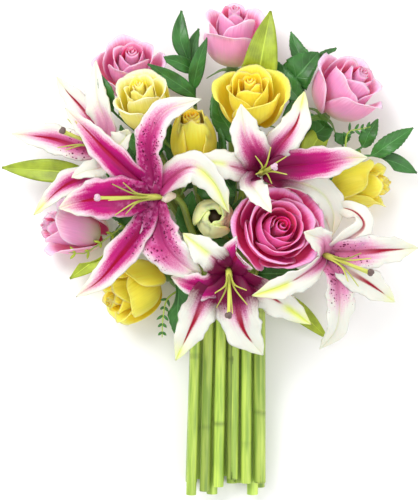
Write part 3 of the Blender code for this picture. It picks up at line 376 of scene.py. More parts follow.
def smooth_curve(points, count, fine=10):
    """COUNT + 1 evenly spaced points on a smooth curve through POINTS."""
    inner = np.asarray(points, float)
    guide = np.vstack([2 * inner[0] - inner[1], inner, 2 * inner[-1] - inner[-2]])
    dense = []
    for i in range(1, len(guide) - 2):
        a, b, c, d = guide[i - 1:i + 3]
        for t in np.linspace(0.0, 1.0, fine, endpoint=False):
            dense.append(0.5 * (2 * b + (c - a) * t + (2 * a - 5 * b + 4 * c - d) * t**2
                                + (3 * b - a - 3 * c + d) * t**3))
    dense = np.array([*dense, inner[-1]])
    along = distances(dense)
    wanted = np.linspace(0.0, along[-1], count + 1)
    return np.stack([np.interp(wanted, along, dense[:, k]) for k in range(3)], axis=1)


def bezier(p0, p1, p2, p3, t):
    t = np.asarray(t)[..., None]
    s = 1.0 - t
    return s**3 * p0 + 3 * s**2 * t * p1 + 3 * s * t**2 * p2 + t**3 * p3


def smoothstep(low, high, value):
    t = np.clip((value - low) / (high - low), 0.0, 1.0)
    return t * t * (3 - 2 * t)


def shares(rows, columns, first=-1.0):
    """Share of the way up and across for each point of a grid; across runs from FIRST to 1."""
    return np.meshgrid(np.linspace(0, 1, rows + 1), np.linspace(first, 1, columns + 1), indexing="ij")


def heads():
    """Keep-out forms: each rose head and the bud as a rounded barrel."""
    forms = {}
    for name, (centre, facing, radius, height, *_) in ROSES.items():
        forms[name] = (np.array(centre, float), unit(facing), radius, HEAD_HALF * height)
    facing = unit(BUD_FACING)
    middle = np.array(BUD_BASE) + 0.5 * BUD_HEIGHT * facing
    forms["lily_bud"] = (middle, facing, BUD_RADIUS, HEAD_HALF * BUD_HEIGHT)
    return forms


HEADS = heads()


def clear_of_heads(points, margin, but=()):
    """POINTS pushed out of every head by MARGIN, so that a blade bends round the flower."""
    points = np.array(points, float)
    for name, (centre, facing, radius, half) in HEADS.items():
        if name in but:
            continue
        offset = points - centre
        along = offset @ facing
        out = np.linalg.norm(offset - along[..., None] * facing, axis=-1)
        depth = (np.abs(along) / (half + margin))**BARREL + (out / (radius + margin))**BARREL
        depth = depth**(1 / BARREL)
        inside = depth < 1.0
        points[inside] = centre + offset[inside] / np.maximum(depth[inside], 0.2)[:, None]
    return points


def above_floor(points, least=LEAF_CLEAR):
    """POINTS, none of them lower than LEAST."""
    points[..., 2] = np.maximum(points[..., 2], least)
    return points


# Meshes
class Shape:
    """Points and faces of one piece, with each point's place on its own petal, leaf or stem."""

    def __init__(self):
        self.points, self.faces, self.flat, self.spread, self.mark = [], [], [], [], []
        self.side, self.finish = [], []
        self.count = 0

    def add(self, points, faces, flat, spread, mark, side, finish):
        """FLAT is 0 to 1 across and along, SPREAD the same in millimetres; SIDE and FINISH are per face."""
        self.points.append(points)
        self.faces += [[i + self.count for i in face] for face in faces]
        for rows, value, size in ((self.flat, flat, 2), (self.spread, spread, 3), (self.mark, mark, 4)):
            rows.append(np.broadcast_to(value, (len(points), size)))
        for rows, value in ((self.side, side), (self.finish, finish)):
            rows.append(np.broadcast_to(value, (len(faces),)))
        self.count += len(points)

    def blade(self, grid, thick, mark, over=1.0, finish=0, seed=0.0):
        """A closed thin blade over GRID; OVER is the side value of the face that looks along its normal."""
        rows, columns = grid.shape[:2]
        normal = np.cross(np.gradient(grid, axis=1), np.gradient(grid, axis=0))
        normal /= np.maximum(np.linalg.norm(normal, axis=2, keepdims=True), TINY)
        thick = np.broadcast_to(np.asarray(thick, float).reshape(-1, 1, 1), (rows, 1, 1))
        inner = (slice(1, -1), slice(1, -1))
        index = np.arange(rows * columns).reshape(rows, columns)
        under = index.copy()
        under[inner] = rows * columns + np.arange((rows - 2) * (columns - 2)).reshape(rows - 2, columns - 2)
        top = grid.copy()
        top[inner] += (normal * thick / 2)[inner]
        low = (grid - normal * thick / 2)[inner]
        v, u = shares(rows - 1, columns - 1, 0.0)
        wide = np.linalg.norm(np.diff(grid, axis=1), axis=2).sum(axis=1)
        along = np.broadcast_to(distances(grid[:, columns // 2])[:, None], u.shape)
        spread = np.stack([(u - 0.5) * wide[:, None], along, np.full(u.shape, SEED_STEP * seed)], axis=2)
        flat = np.stack([u, v], axis=2)
        points, flat, spread = (np.concatenate([over_part.reshape(-1, size), under_part.reshape(-1, size)])
                                for over_part, under_part, size in ((top, low, 3), (flat, flat[inner], 2),
                                                                    (spread, spread[inner], 3)))
        faces = []
        for layer, order in ((index, 1), (under, -1)):
            corners = [layer[:-1, :-1], layer[:-1, 1:], layer[1:, 1:], layer[1:, :-1]][::order]
            faces.append(np.stack(corners, axis=2).reshape(-1, 4))
        self.add(points, np.concatenate(faces).tolist(), flat, spread, mark,
                 np.repeat([over, 1.0 - over], len(faces[0])), finish)

    def turned(self, rings, finish=0, caps=True):
        """A skin over RINGS (count, sides, 3), closed to a point in the middle of each end ring."""
        rings = np.asarray(rings)
        count, sides = rings.shape[:2]
        v, u = np.meshgrid(np.linspace(0, 1, count), np.linspace(0, 1, sides, endpoint=False), indexing="ij")
        flat = np.stack([u, v], axis=2).reshape(-1, 2)
        index = np.arange(count * sides).reshape(count, sides)
        nxt = np.roll(index, -1, axis=1)
        faces = np.stack([index[:-1], nxt[:-1], nxt[1:], index[1:]], axis=2).reshape(-1, 4).tolist()
        points = rings.reshape(-1, 3)
        if caps:
            points = np.vstack([points, rings[[0, -1]].mean(axis=1)])
            flat = np.vstack([flat, [(0.5, 0.0), (0.5, 1.0)]])
            first, last = count * sides, count * sides + 1
            faces += [(first, nxt[0, i], index[0, i]) for i in range(sides)]
            faces += [(last, index[-1, i], nxt[-1, i]) for i in range(sides)]
        spread = np.hstack([flat * TURNED_SPREAD, np.zeros((len(flat), 1))])
        self.add(points, faces, flat, spread, (0, 0, 0, 0), 1.0, finish)

    def mesh(self, name, finishes):
        mesh = bpy.data.meshes.new(name)
        mesh.from_pydata((np.concatenate(self.points) * MM).tolist(), [], self.faces)
        corners = np.empty(len(mesh.loops), np.int32)
        mesh.loops.foreach_get("vertex_index", corners)
        flat = mesh.uv_layers.new(name="UVMap")
        flat.data.foreach_set("uv", np.concatenate(self.flat)[corners].astype(np.float32).ravel())
        for label, kind, domain, field, values in (
                ("spread", "FLOAT_VECTOR", "POINT", "vector", self.spread),
                ("mark", "FLOAT_COLOR", "POINT", "color", self.mark),
                ("side", "FLOAT", "FACE", "value", self.side)):
            layer = mesh.attributes.new(label, kind, domain)
            layer.data.foreach_set(field, np.concatenate(values).astype(np.float32).ravel())
        mesh.polygons.foreach_set("material_index", np.concatenate(self.finish).astype(np.int32))
        mesh.polygons.foreach_set("use_smooth", np.ones(len(mesh.polygons), bool))
        for finish in finishes:
            mesh.materials.append(finish)
        mesh.update()
        return mesh


def piece(name, mesh, node):
    """MESH as a piece of the object that stands for NODE, whose part it hides."""
    made = bpy.data.objects.new(name, mesh)
    bpy.context.scene.collection.objects.link(made)
    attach(made, ROOT)
    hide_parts(node)
    return made


# Materials
def shaded(colour, by, plus=0.0):
    """COLOUR times BY, with PLUS added."""
    return [min(1.0, by * c + plus) for c in colour]


class Wire:
    """A value on its way through a material, whose arithmetic adds nodes."""

    def __init__(self, made, socket):
        self.made, self.socket = made, socket

    def __add__(self, other):
        return self.made.calc("ADD", self, other)

    def __sub__(self, other):
        return self.made.calc("SUBTRACT", self, other)

    def __rsub__(self, other):
        return self.made.calc("SUBTRACT", other, self)

    def __mul__(self, other):
        return self.made.calc("MULTIPLY", self, other)

    def __truediv__(self, other):
        return self.made.calc("DIVIDE", self, other)

    def step(self, low, high):
        """0 at LOW and 1 at HIGH, smoothly."""
        inputs = {"Value": self, "From Min": low, "From Max": high}
        made = self.made.add("ShaderNodeMapRange", inputs, interpolation_type="SMOOTHSTEP")
        return Wire(self.made, made.outputs["Result"])


class Finish:
    """A new material and short calls that add nodes to it."""

    def __init__(self, name, **skin):
        self.material = bpy.data.materials.new(name)
        self.material.use_nodes = True
        self.tree = self.material.node_tree
        self.skin = self.tree.nodes["Principled BSDF"]
        for key, value in skin.items():
            self.skin.inputs[key.replace("_", " ")].default_value = value

    def plug(self, value, socket):
        if isinstance(value, Wire):
            self.tree.links.new(value.socket, socket)
        elif getattr(socket, "type", "") == "RGBA" and len(value) == 3:
            socket.default_value = (*value, 1.0)
        else:
            socket.default_value = value

    def add(self, kind, inputs, **settings):
        node = self.tree.nodes.new(kind)
        for key, value in settings.items():
            setattr(node, key, value)
        for key, value in inputs.items():
            self.plug(value, node.inputs[key])
        return node

    def wire(self, kind, inputs, output=0, **settings):
        return Wire(self, self.add(kind, inputs, **settings).outputs[output])

    def read(self, name, output="Fac"):
        return self.wire("ShaderNodeAttribute", {}, output, attribute_name=name)

    def split(self, vector):
        return [Wire(self, part) for part in self.add("ShaderNodeSeparateXYZ", {"Vector": vector}).outputs]

    def calc(self, operation, a, b=0.0):
        return self.wire("ShaderNodeMath", {0: a, 1: b}, operation=operation)

    def blend(self, share, a, b):
        return self.wire("ShaderNodeMix", {0: share, 6: a, 7: b}, 2, data_type="RGBA")

    def scaled(self, vector, scale):
        return self.wire("ShaderNodeVectorMath", {0: vector, 1: scale}, operation="MULTIPLY")

    def noise(self, vector, scale, detail=3.0):
        return self.wire("ShaderNodeTexNoise", {"Vector": vector, "Scale": scale, "Detail": detail}, "Fac")

    def veins(self, spread, across, along, detail):
        """Streaks along a petal, ACROSS and ALONG cycles for each millimetre."""
        return self.noise(self.scaled(spread, (across, along, 1.0)), 1.0, detail)

    def place(self):
        """Distance from the midrib, 0 to 1, and the share of the way to the tip."""
        u, v, _ = self.split(self.wire("ShaderNodeUVMap", {}, "UV", uv_map="UVMap"))
        return self.calc("ABSOLUTE", (u - 0.5) * 2.0), v

    def bump(self, height, strength, distance):
        inputs = {"Height": height, "Strength": strength, "Distance": distance}
        self.plug(self.wire("ShaderNodeBump", inputs, "Normal"), self.skin.inputs["Normal"])

    def done(self, colour):
        self.plug(colour, self.skin.inputs["Base Color"])
        return self.material


PETAL_SKIN = {"Roughness": 0.45, "Subsurface_Weight": 0.6, "Subsurface_Radius": (1.0, 0.6, 0.45),
              "Subsurface_Scale": 0.006, "Specular_IOR_Level": 0.3,
              "Sheen_Weight": 0.10, "Sheen_Roughness": 0.5}
TEPAL_SKIN = {**PETAL_SKIN, "Subsurface_Weight": 0.25, "Specular_IOR_Level": 0.18, "Sheen_Weight": 0.0}
LEAF_SKIN = {"Specular_IOR_Level": 0.45, "Subsurface_Weight": 0.08, "Subsurface_Radius": (0.4, 1.0, 0.2),
             "Subsurface_Scale": 0.002}
STEM_SKIN = {"Roughness": 0.38, "Specular_IOR_Level": 0.5, "Subsurface_Weight": 0.12,
             "Subsurface_Radius": (0.6, 1.0, 0.3), "Subsurface_Scale": 0.003}


def petal_finish(look, variety):
    """Rose petals: pale at the rim, deeper inside and at the heart, partly their own colour and partly
    painted shade in the crevices, with fine veins.
    """
    made = Finish("petals_" + variety, **PETAL_SKIN)
    across, along = made.place()
    outside, inside, rim, foot = (getattr(look, variety + "_" + part) for part in PETAL_PARTS)
    # The deep colour is partly the rose's own deeper heart and partly painted shade in the crevices between
    # the petals
    deep = [c**1.6 for c in inside]
    spread = made.read("spread", "Vector")
    share, pick, _ = made.split(made.read("mark", "Vector"))
    veins = made.veins(spread, 0.55, 0.05, 2.0)
    height = along + (veins - 0.5) * 0.22
    outer = share.step(0.02, 0.55)
    back = made.blend(height.step(0.05, 0.66), foot, outside)
    back = made.blend(height.step(0.72, 1.0) * (outer * 0.85), back, rim)
    # Inner petals, and the inside of each petal towards its foot, take the deep colour: partly real colour,
    # partly painted shade
    front = made.blend(outer, deep, inside)
    front = made.blend(height.step(0.55, 0.15), front, deep)
    front = made.blend(height.step(0.64, 0.98) * (outer * 0.85), front, rim)
    colour = made.blend(made.read("side"), back, front)
    colour = made.blend(across.step(0.86, 1.0) * 0.35, colour, rim)
    shade = made.noise(spread, 0.06) * 0.16 + 0.92 + (veins - 0.5) * 0.22 + (pick - 0.5) * 0.10
    made.bump(veins, 0.18, 0.0006)
    return made.done(made.scaled(colour, shade))


def tepal_wash(made, look, place, marks, ragged):
    """The magenta wash on white, with a soft pink edge; and how far each point is from the wash's far end."""
    across, along = place
    reach, width, pale = marks
    far = along / made.calc("MAXIMUM", reach, 0.02)
    room = width * (1.0 - made.calc("POWER", far, 2.0) * 0.50) + along.step(0.30, 0.08) * 0.40
    side = room - (across + ragged)
    ahead = reach - (along + ragged * 0.7)
    haze = side.step(-0.42, 0.12) * ahead.step(-0.30, 0.10)
    full = side.step(-0.12, 0.22) * ahead.step(-0.12, 0.22)
    heart = side.step(0.10, 0.62) * ahead.step(0.05, 0.45)
    colour = made.blend(haze * 0.70, look.white, look.blush)
    colour = made.blend(full * (1.0 - pale * 0.62), colour, look.magenta)
    return made.blend(heart * (0.8 - pale * 0.8), colour, look.deep), ahead


def tepal_spots(made, look, spread, place, spots, colour):
    """Pale patches and dark spots from the throat as far as SPOTS."""
    across, along = place
    near = spots - along
    patch = made.noise(spread, 0.28, 2.0).step(0.46, 0.66) * near.step(0.0, 0.3)
    colour = made.blend(patch * (across.step(0.12, 0.40) * 0.45), colour, look.blush)
    cells = made.add("ShaderNodeTexVoronoi", {"Vector": spread, "Scale": 0.36, "Randomness": 0.9})
    chance = made.split(Wire(made, cells.outputs["Color"]))[0]
    size = near.step(-0.06, 0.30) * 0.42 * (chance * 0.70 + 0.30)
    dots = Wire(made, cells.outputs["Distance"]).step(size, size * 0.70)
    dots = dots * across.step(0.16, 0.30) * across.step(0.95, 0.80) * size.step(0.05, 0.09)
    return colour, dots


def tepal_finish(look):
    """Lily tepals: white edges, a magenta wash with a ragged edge, crimson stripe, dark spots and painted
    shade in the throat.
    """
    made = Finish("lily_tepals", **TEPAL_SKIN)
    place = across, along = made.place()
    spread = made.read("spread", "Vector")
    reach, width, stripe = made.split(made.read("mark", "Vector"))
    # The third value of more is how much shade is painted in the throat
    yellow, pale, throat = made.split(made.read("more", "Vector"))
    veins = made.veins(spread, 0.45, 0.035, 3.0)
    ragged = (veins - 0.5) * 0.34 + (made.noise(spread, 0.9, 2.0) - 0.5) * 0.26
    colour, ahead = tepal_wash(made, look, place, (reach, width, pale), ragged)
    colour, dots = tepal_spots(made, look, spread, place, made.read("mark", "Alpha"), colour)
    left = stripe - along
    thin = made.calc("MAXIMUM", left, 0.0) * 0.30 + 0.02
    core = (across + ragged * 0.20).step(thin + 0.10, thin * 0.75)
    core = core * left.step(0.0, 0.08) * (along.step(0.25, 0.60) * 0.75 + 0.25)
    rib = across.step(yellow * 0.40 + 0.14, 0.02) * ahead.step(0.05, -0.10) * left.step(0.05, -0.08)
    # Painted shade in the throat, darkest at the foot of each tepal
    dark = (along + ragged * 0.25).step(0.52, 0.12)
    for share, tone in ((core, look.crimson), (dots, look.spot), (rib * (yellow * 0.75 + 0.15), look.tip),
                        (along.step(0.72, 1.0) * (yellow * 0.5 + 0.12), look.tip),
                        (along.step(0.13, 0.02), look.deep), (dark * throat, look.throat)):
        colour = made.blend(share, colour, tone)
    behind = made.blend(across.step(0.20, 0.03) * 0.55, look.back, look.tip)
    behind = made.blend(across.step(0.55, 1.0) * 0.6, behind, look.white)
    colour = made.blend(made.read("side"), behind, colour)
    made.bump(veins * 0.6 + across.step(0.0, 0.10) * 0.8, 0.35, 0.0008)
    return made.done(made.scaled(colour, veins * 0.10 + 0.95))


def bud_finish(look):
    """The bud's lobes: cream, greener at the foot, the edges and the tips, with painted shade on their inner
    face.
    """
    made = Finish("bud_skin", **PETAL_SKIN)
    across, along = made.place()
    veins = made.veins(made.read("spread", "Vector"), 0.45, 0.035, 3.0)
    height = along + (veins - 0.5) * 0.3
    tone = look.bud
    for share in (height.step(0.50, 0.10) * 0.8, height.step(0.82, 1.0) * 0.6, across.step(0.70, 1.0) * 0.4):
        tone = made.blend(share, tone, look.bud_green)
    # Painted shade on the inner face of the lobes: half-bright green below the tips
    inside = made.blend(height.step(0.95, 0.70), look.bud, shaded(look.bud_green, 0.5))
    made.bump(veins, 0.3, 0.0008)
    return made.done(made.blend(made.read("side"), inside, tone))


def leaf_finish(name, colour, veins, gloss):
    """A leaf: pale midrib, a paler back, VEINS side veins, or lines along it where VEINS is negative."""
    made = Finish(name, Roughness=gloss, **LEAF_SKIN)
    across, along = made.place()
    spread = made.read("spread", "Vector")
    pick = made.split(made.read("mark", "Vector"))[0]
    run = (along - across * 0.16) * veins if veins > 0 else across * -veins
    line = made.calc("ABSOLUTE", made.calc("FRACT", run) - 0.5).step(0.10, 0.0)
    rib = across.step(0.07, 0.015)
    pale = shaded(colour, 1.9, 0.05)
    tone = made.blend(made.noise(spread, 0.07).step(0.3, 0.7), shaded(colour, 0.72), shaded(colour, 1.25))
    for share in (line * 0.22, rib * 0.7, across.step(0.90, 1.0) * 0.35):
        tone = made.blend(share, tone, pale)
    back = made.blend(0.55, tone, shaded(pale, 0.55, 0.10))
    made.bump(line * -0.5 + rib * -1.0 + made.noise(spread, 0.5) * 0.5, 0.45, 0.0008)
    return made.done(made.scaled(made.blend(made.read("side"), back, tone), pick * 0.40 + 0.82))


def stem_finish(name, light, dark):
    """A stem: streaks along it, brownish rings where leaves were taken off, and painted shade on the part
    between the flowers.
    """
    made = Finish(name, **STEM_SKIN)
    along, pick = made.read("along"), made.read("pick")
    line = made.wire("ShaderNodeCombineXYZ", {"X": made.read("around") * 9.0, "Y": along * 18.0, "Z": pick})
    streak = made.noise(line, 1.0, 4.0)
    cloud = made.noise(made.scaled(line, (0.3, 0.5, 3.0)), 1.0)
    tone = made.blend(streak.step(0.32, 0.68), dark, light)
    tone = made.blend(cloud.step(0.45, 0.75) * 0.5, tone, shaded(light, 1.35, 0.03))
    tone = made.blend(made.read("knot") * 0.95, tone, shaded(dark, 0.30))
    # Each stem gets its own tone, and painted shade darkens it between the flowers
    shade = (made.calc("FRACT", pick * 0.37) * 0.55 + 0.64) * (1.0 - along.step(*SHADED) * 0.45)
    made.bump(streak, 0.4, 0.0008)
    return made.done(made.scaled(tone, shade))


def plain_finish(name, colour, roughness, grain, depth):
    """One colour with small cloudy changes and a fine bump."""
    made = Finish(name, Roughness=roughness, Subsurface_Weight=0.1, Subsurface_Radius=(1.0, 0.7, 0.4),
                  Subsurface_Scale=0.002)
    cloud = made.noise(made.wire("ShaderNodeTexCoord", {}, "Object"), grain)
    made.bump(cloud, 0.4, depth)
    return made.done(made.blend(cloud.step(0.3, 0.7), shaded(colour, 0.80), shaded(colour, 1.15)))


# Roses
def rose_layers(rose):
    """Share and turn of every petal from the outside in; share 1 is the outermost."""
    openness, petals, first = ROSES[rose][4:7]
    if openness < BUD_OPENNESS:
        return [(share, math.radians(turn)) for share, turn in BUD_PETALS]
    layers = sorted([*(1.0 - (i / petals)**0.9 for i in range(petals)), *INNER_SHARES], reverse=True)
    return [(share, math.radians(first + GOLDEN_ANGLE * i)) for i, share in enumerate(layers)]


def petal_profile(look, rose, share, climb, skew, u):
    """How far out and how high each point of a petal is: a cup that leans in, then rolls back."""
    radius, height, openness = ROSES[rose][2:5]
    shut = 1 - openness
    belly = radius * (0.30 + 0.60 * share)
    rim = radius * (0.14 + (0.86 - 0.28 * shut - 0.85 * shut**2) * share**1.1)
    top = height * (1.0 - 0.20 * max(openness, 0.6) * share**2 - 0.07 * (1 - share)**2)
    start = 0.06 + 0.34 * (1.0 - share)
    knots = (np.array((0.10 * radius, start * height)), np.array((1.05 * belly, (start + 0.02) * height)),
             np.array((1.08 * belly, 0.66 * top)), np.array((rim, top)))
    begin = BUD_ROLL_START if openness < BUD_OPENNESS else ROLL_START
    ahead = unit(bezier(*knots, begin + 0.01) - bezier(*knots, begin - 0.01))
    sideward = np.array((ahead[1], -ahead[0]))
    past = np.maximum(climb - begin, 0.0)
    reach = past * np.linalg.norm(knots[3] - knots[2]) * 1.9
    corner = 0.62 + 0.75 * smoothstep(0.10, 0.75, np.abs(u + 0.3 * skew))
    bend = look.roll * openness * (0.12 + 0.88 * share**1.2) * corner
    angle = bend * past / (1 - begin)
    ring = reach / np.maximum(angle, 1e-4)
    rolled = (ring * np.sin(angle))[..., None] * ahead + (ring * (1 - np.cos(angle)))[..., None] * sideward
    return bezier(*knots, np.minimum(climb, begin)) + rolled


def rose_petal(look, rose, share, turn, draw, rows, columns):
    """One petal, cupped round the heart with its rim rolled back."""
    centre, facing, radius, height, openness = ROSES[rose][:5]
    axis = unit(facing)
    v, u = shares(rows, columns)
    skew = draw.uniform(-0.25, 0.25)
    drop = BUD_DROP if openness < BUD_OPENNESS and share < 0.95 else SIDE_DROP
    climb = v * (1.0 - drop * np.abs(u)**2.3) + 0.06 * v**3 * (1 - np.abs(u))**2
    profile = petal_profile(look, rose, share, climb * (1 + 0.05 * skew * u), skew, u)
    out = profile[..., 0] + 0.035 * radius * u * v + 0.05 * radius * share * v**2 * np.abs(u)**3
    phase = draw.uniform(0, 2 * math.pi)
    wave = look.wave / MM * (0.15 + share) * v**3
    ripple = 0.6 * np.sin(1.7 * math.pi * u + phase) + 0.25 * np.sin(4.1 * math.pi * u + 2 * phase)
    out = out + wave * ripple
    out = out + 0.16 * wave * v**4 * np.sin(8.3 * math.pi * u + 3 * phase)
    lift = profile[..., 1] + 0.6 * wave * np.sin(2.4 * math.pi * u + 1.7 * phase) - 0.5 * height
    angle = turn + u * math.radians(88 - 14 * share) * (0.82 + 0.18 * np.sin(math.pi * v))
    return centre + np.maximum(out, 0.5)[..., None] * rays(axis, angle) + lift[..., None] * axis


def rose_heart(rose, rows=9, columns=64):
    """The furled petal in the middle of a rose."""
    centre, facing, radius, height, openness, _, first = ROSES[rose][:7]
    turns, reach = BUD_HEART if openness < BUD_OPENNESS else (HEART_TURNS, HEART_REACH)
    axis = unit(facing)
    v, u = shares(rows, columns, 0.0)
    angle = math.radians(first) + 2 * math.pi * turns * u
    out = radius * (0.012 + reach * u**0.85) * (1.30 - 0.34 * v + 0.10 * v**6)
    lift = height * (0.42 + (0.50 + HEART_CONE * (1 - u) + 0.015 * np.sin(3 * angle)) * v - 0.5)
    return centre + out[..., None] * rays(axis, angle) + lift[..., None] * axis


def rose_bloom(look, rose, finish):
    shape, draw = Shape(), random.Random(rose)
    thick = look.thickness / MM
    for i, (share, turn) in enumerate(rose_layers(rose)):
        rows, columns = (18, 20) if share > 0.35 else (12, 18)
        grid = above_floor(rose_petal(look, rose, share, turn, draw, rows, columns), 0.4)
        shape.blade(grid, thick, (share, draw.random(), 0, 0), 0.0, 0, i + draw.random())
    shape.blade(rose_heart(rose), 0.8 * thick, (0.0, 0.5, 0, 0), 0.0, 0, HEART_SEED)
    return shape.mesh(rose, [finish])


# Blades of lilies and leaves
def blade_face(line, face):
    """At each point of LINE, the heading and the direction nearest to FACE that is square to it."""
    tangent = np.gradient(line, axis=0)
    tangent /= np.linalg.norm(tangent, axis=1, keepdims=True)
    inner = np.asarray(face, float) - (tangent @ face)[:, None] * tangent
    return tangent, inner / np.maximum(np.linalg.norm(inner, axis=1, keepdims=True), SMALL)


def blade(line, half_width, face, widths, columns=2, fold=0.0, wave=0.0, phase=0.0):
    """A grid along LINE: WIDTHS is the share of HALF_WIDTH at each row, FACE is where it looks."""
    tangent, inner = blade_face(line, face)
    widths = np.asarray(widths, float)[:, None]
    half = half_width * widths
    u = np.linspace(-1, 1, columns + 1)
    steps = np.linspace(0, 1, len(line))[:, None]
    ripple = wave * np.sin(2 * math.pi * 2.5 * steps + phase + 1.4 * np.sign(u)) * np.abs(u)**2 * widths
    lift = fold * np.abs(u) * half + ripple
    across = (np.cross(tangent, inner) * half)[:, None] * u[None, :, None]
    return line[:, None] + across + inner[:, None] * lift[..., None]


def tepal_widths(rows):
    steps = np.linspace(0, 1, rows + 1)
    grown = 0.24 + 0.76 * np.sin(0.5 * math.pi * np.minimum(steps / 0.42, 1.0))
    narrowed = 1.0 - np.clip((steps - 0.45) / 0.55, 0, 1)**2.1
    return np.maximum(grown * narrowed, 0.035)


def tepal(lily, index, rows=6):
    """A tepal as the CAD part has it, which the stems keep clear of."""
    throat, facing, _, tepals = LILIES[lily]
    half_width, points = tepals[index]
    face = unit(unit(facing) + TEPAL_UP * np.array((0.0, 0.0, 1.0)))
    grid = blade(smooth_curve([throat, *points], rows), half_width, face, tepal_widths(rows), fold=0.28,
                 wave=TEPAL_WAVE, phase=1.3 * index)
    return clear_of_heads(grid, TEPAL_MARGIN)


def fine_tepal(look, lily, index, rows=44, columns=20):
    """The same tepal with a grooved midrib, an arched blade and ruffled edges."""
    throat, facing, _, tepals = LILIES[lily]
    half_width, points = tepals[index]
    axis = unit(facing)
    away = np.array(points[0], float) - throat
    away = LILY_TUBE_RADIUS * unit(away - (away @ axis) * axis)
    foot = [throat + 0.45 * away - 5.0 * axis, throat + 0.9 * away + 3.0 * axis]
    line = smooth_curve([*foot, *points], rows, 24)
    widths = tepal_widths(rows)
    face = unit(axis + TEPAL_UP * np.array((0.0, 0.0, 1.0)))
    grid = blade(line, half_width, face, widths, columns, wave=TEPAL_WAVE, phase=1.3 * index)
    widths = widths[:, None]
    u = np.linspace(-1, 1, columns + 1)
    v = np.linspace(0, 1, rows + 1)[:, None]
    side = np.abs(u)
    begin = smoothstep(0.15, 0.4, v)
    phase = 2.1 * index + len(lily)
    uneven = 0.07 * np.sin(2 * math.pi * 3.7 * v + phase + 2.4 * np.sign(u))
    uneven = uneven + 0.03 * np.sin(2 * math.pi * 9.1 * v + u)
    middle = grid[:, columns // 2][:, None]
    grid = middle + (grid - middle) * (1.0 + uneven * side * begin)[..., None]
    ruffle = np.sin(2 * math.pi * 5.3 * v + phase + 2.0 * np.sign(u))
    ruffle = ruffle + 0.5 * np.sin(2 * math.pi * 10.7 * v + 2 * phase)
    lift = half_width * widths * (0.58 * side - 0.36 * side**2.2) - np.exp(-(u / 0.10)**2) * (1 - v)
    lift = lift + look.ruffle / MM * widths * side**4 * smoothstep(0.12, 0.4, v) * ruffle
    return clear_of_heads(grid + blade_face(line, face)[1][:, None] * lift[..., None], TEPAL_MARGIN)


def ring_of(centre, axis, radius, sides):
    return centre + radius * rays(axis, np.linspace(0, 2 * math.pi, sides, endpoint=False))


def lily_tube(throat, axis):
    """The narrow tube behind a lily's throat, as rings."""
    for t in np.linspace(0, 1, 8):
        radius = TUBE_FOOT + (LILY_TUBE_RADIUS - TUBE_FOOT) * math.sin(0.5 * math.pi * t)**1.2
        yield ring_of(np.array(throat) + (-1.35 + 1.25 * t) * LILY_TUBE * axis, axis, radius, 18)


def lily_bloom(look, lily, finishes):
    throat, facing = LILIES[lily][:2]
    shape, draw = Shape(), random.Random(lily)
    more = []
    for i, (reach, width, stripe, spots, yellow, pale) in enumerate(MARKS[lily]):
        grid = fine_tepal(look, lily, i)
        shape.blade(grid, look.thickness / MM, (reach, width, stripe, spots), 1.0, 0, i + draw.random())
        more += [(yellow, pale, THROAT_SHADES[lily])] * (shape.count - len(more))
    shape.turned(list(lily_tube(throat, unit(facing))), 1)
    more += [(0.0, 0.0, 0.0)] * (shape.count - len(more))
    mesh = shape.mesh(lily, finishes)
    layer = mesh.attributes.new("more", "FLOAT_VECTOR", "POINT")
    layer.data.foreach_set("vector", np.array(more, np.float32).ravel())
    return mesh


# Geometry Nodes
class Tree:
    """A geometry node tree with named inputs and short calls that add nodes."""

    def __init__(self, name, **sockets):
        self.tree = bpy.data.node_groups.new(name, "GeometryNodeTree")
        for way in ("INPUT", "OUTPUT"):
            self.tree.interface.new_socket("Geometry", in_out=way, socket_type="NodeSocketGeometry")
        for label, kind in sockets.items():
            self.tree.interface.new_socket(label, in_out="INPUT", socket_type="NodeSocket" + kind)
        self.inputs = self.tree.nodes.new("NodeGroupInput").outputs
        self.output = self.tree.nodes.new("NodeGroupOutput")

    def add(self, kind, inputs, **settings):
        node = self.tree.nodes.new(kind)
        for key, value in settings.items():
            setattr(node, key, value)
        for key, value in inputs.items():
            if isinstance(value, bpy.types.NodeSocket):
                self.tree.links.new(value, node.inputs[key])
            else:
                node.inputs[key].default_value = value
        return node

    def calc(self, operation, a, b=0.0):
        return self.add("ShaderNodeMath", {0: a, 1: b}, operation=operation).outputs[0]

    def read(self, name):
        node = self.add("GeometryNodeInputNamedAttribute", {"Name": name}, data_type="FLOAT")
        return node.outputs["Attribute"]

    def keep(self, geometry, name, value):
        inputs = {"Geometry": geometry, "Name": name, "Value": value}
        node = self.add("GeometryNodeStoreNamedAttribute", inputs, data_type="FLOAT", domain="POINT")
        return node.outputs[0]

    def end(self, geometry, finish):
        real = self.add("GeometryNodeRealizeInstances", {"Geometry": geometry}).outputs[0]
        done = self.add("GeometryNodeSetMaterial", {"Geometry": real, "Material": finish}).outputs[0]
        self.tree.links.new(done, self.output.inputs[0])
        return self.tree


def grown_mesh(name, source, tree, **values):
    """SOURCE's mesh after TREE with its inputs set to VALUES."""
    carrier = bpy.data.objects.new(name, source)
    bpy.context.scene.collection.objects.link(carrier)
    step = carrier.modifiers.new("grow", "NODES")
    step.node_group = tree
    for item in tree.interface.items_tree:
        if item.in_out == "INPUT" and item.name in values:
            step[item.identifier] = values[item.name]
    bpy.context.view_layer.update()
    seen = carrier.evaluated_get(bpy.context.evaluated_depsgraph_get())
    mesh = bpy.data.meshes.new_from_object(seen)
    bpy.data.objects.remove(carrier, do_unlink=True)
    mesh.name = name
    return mesh


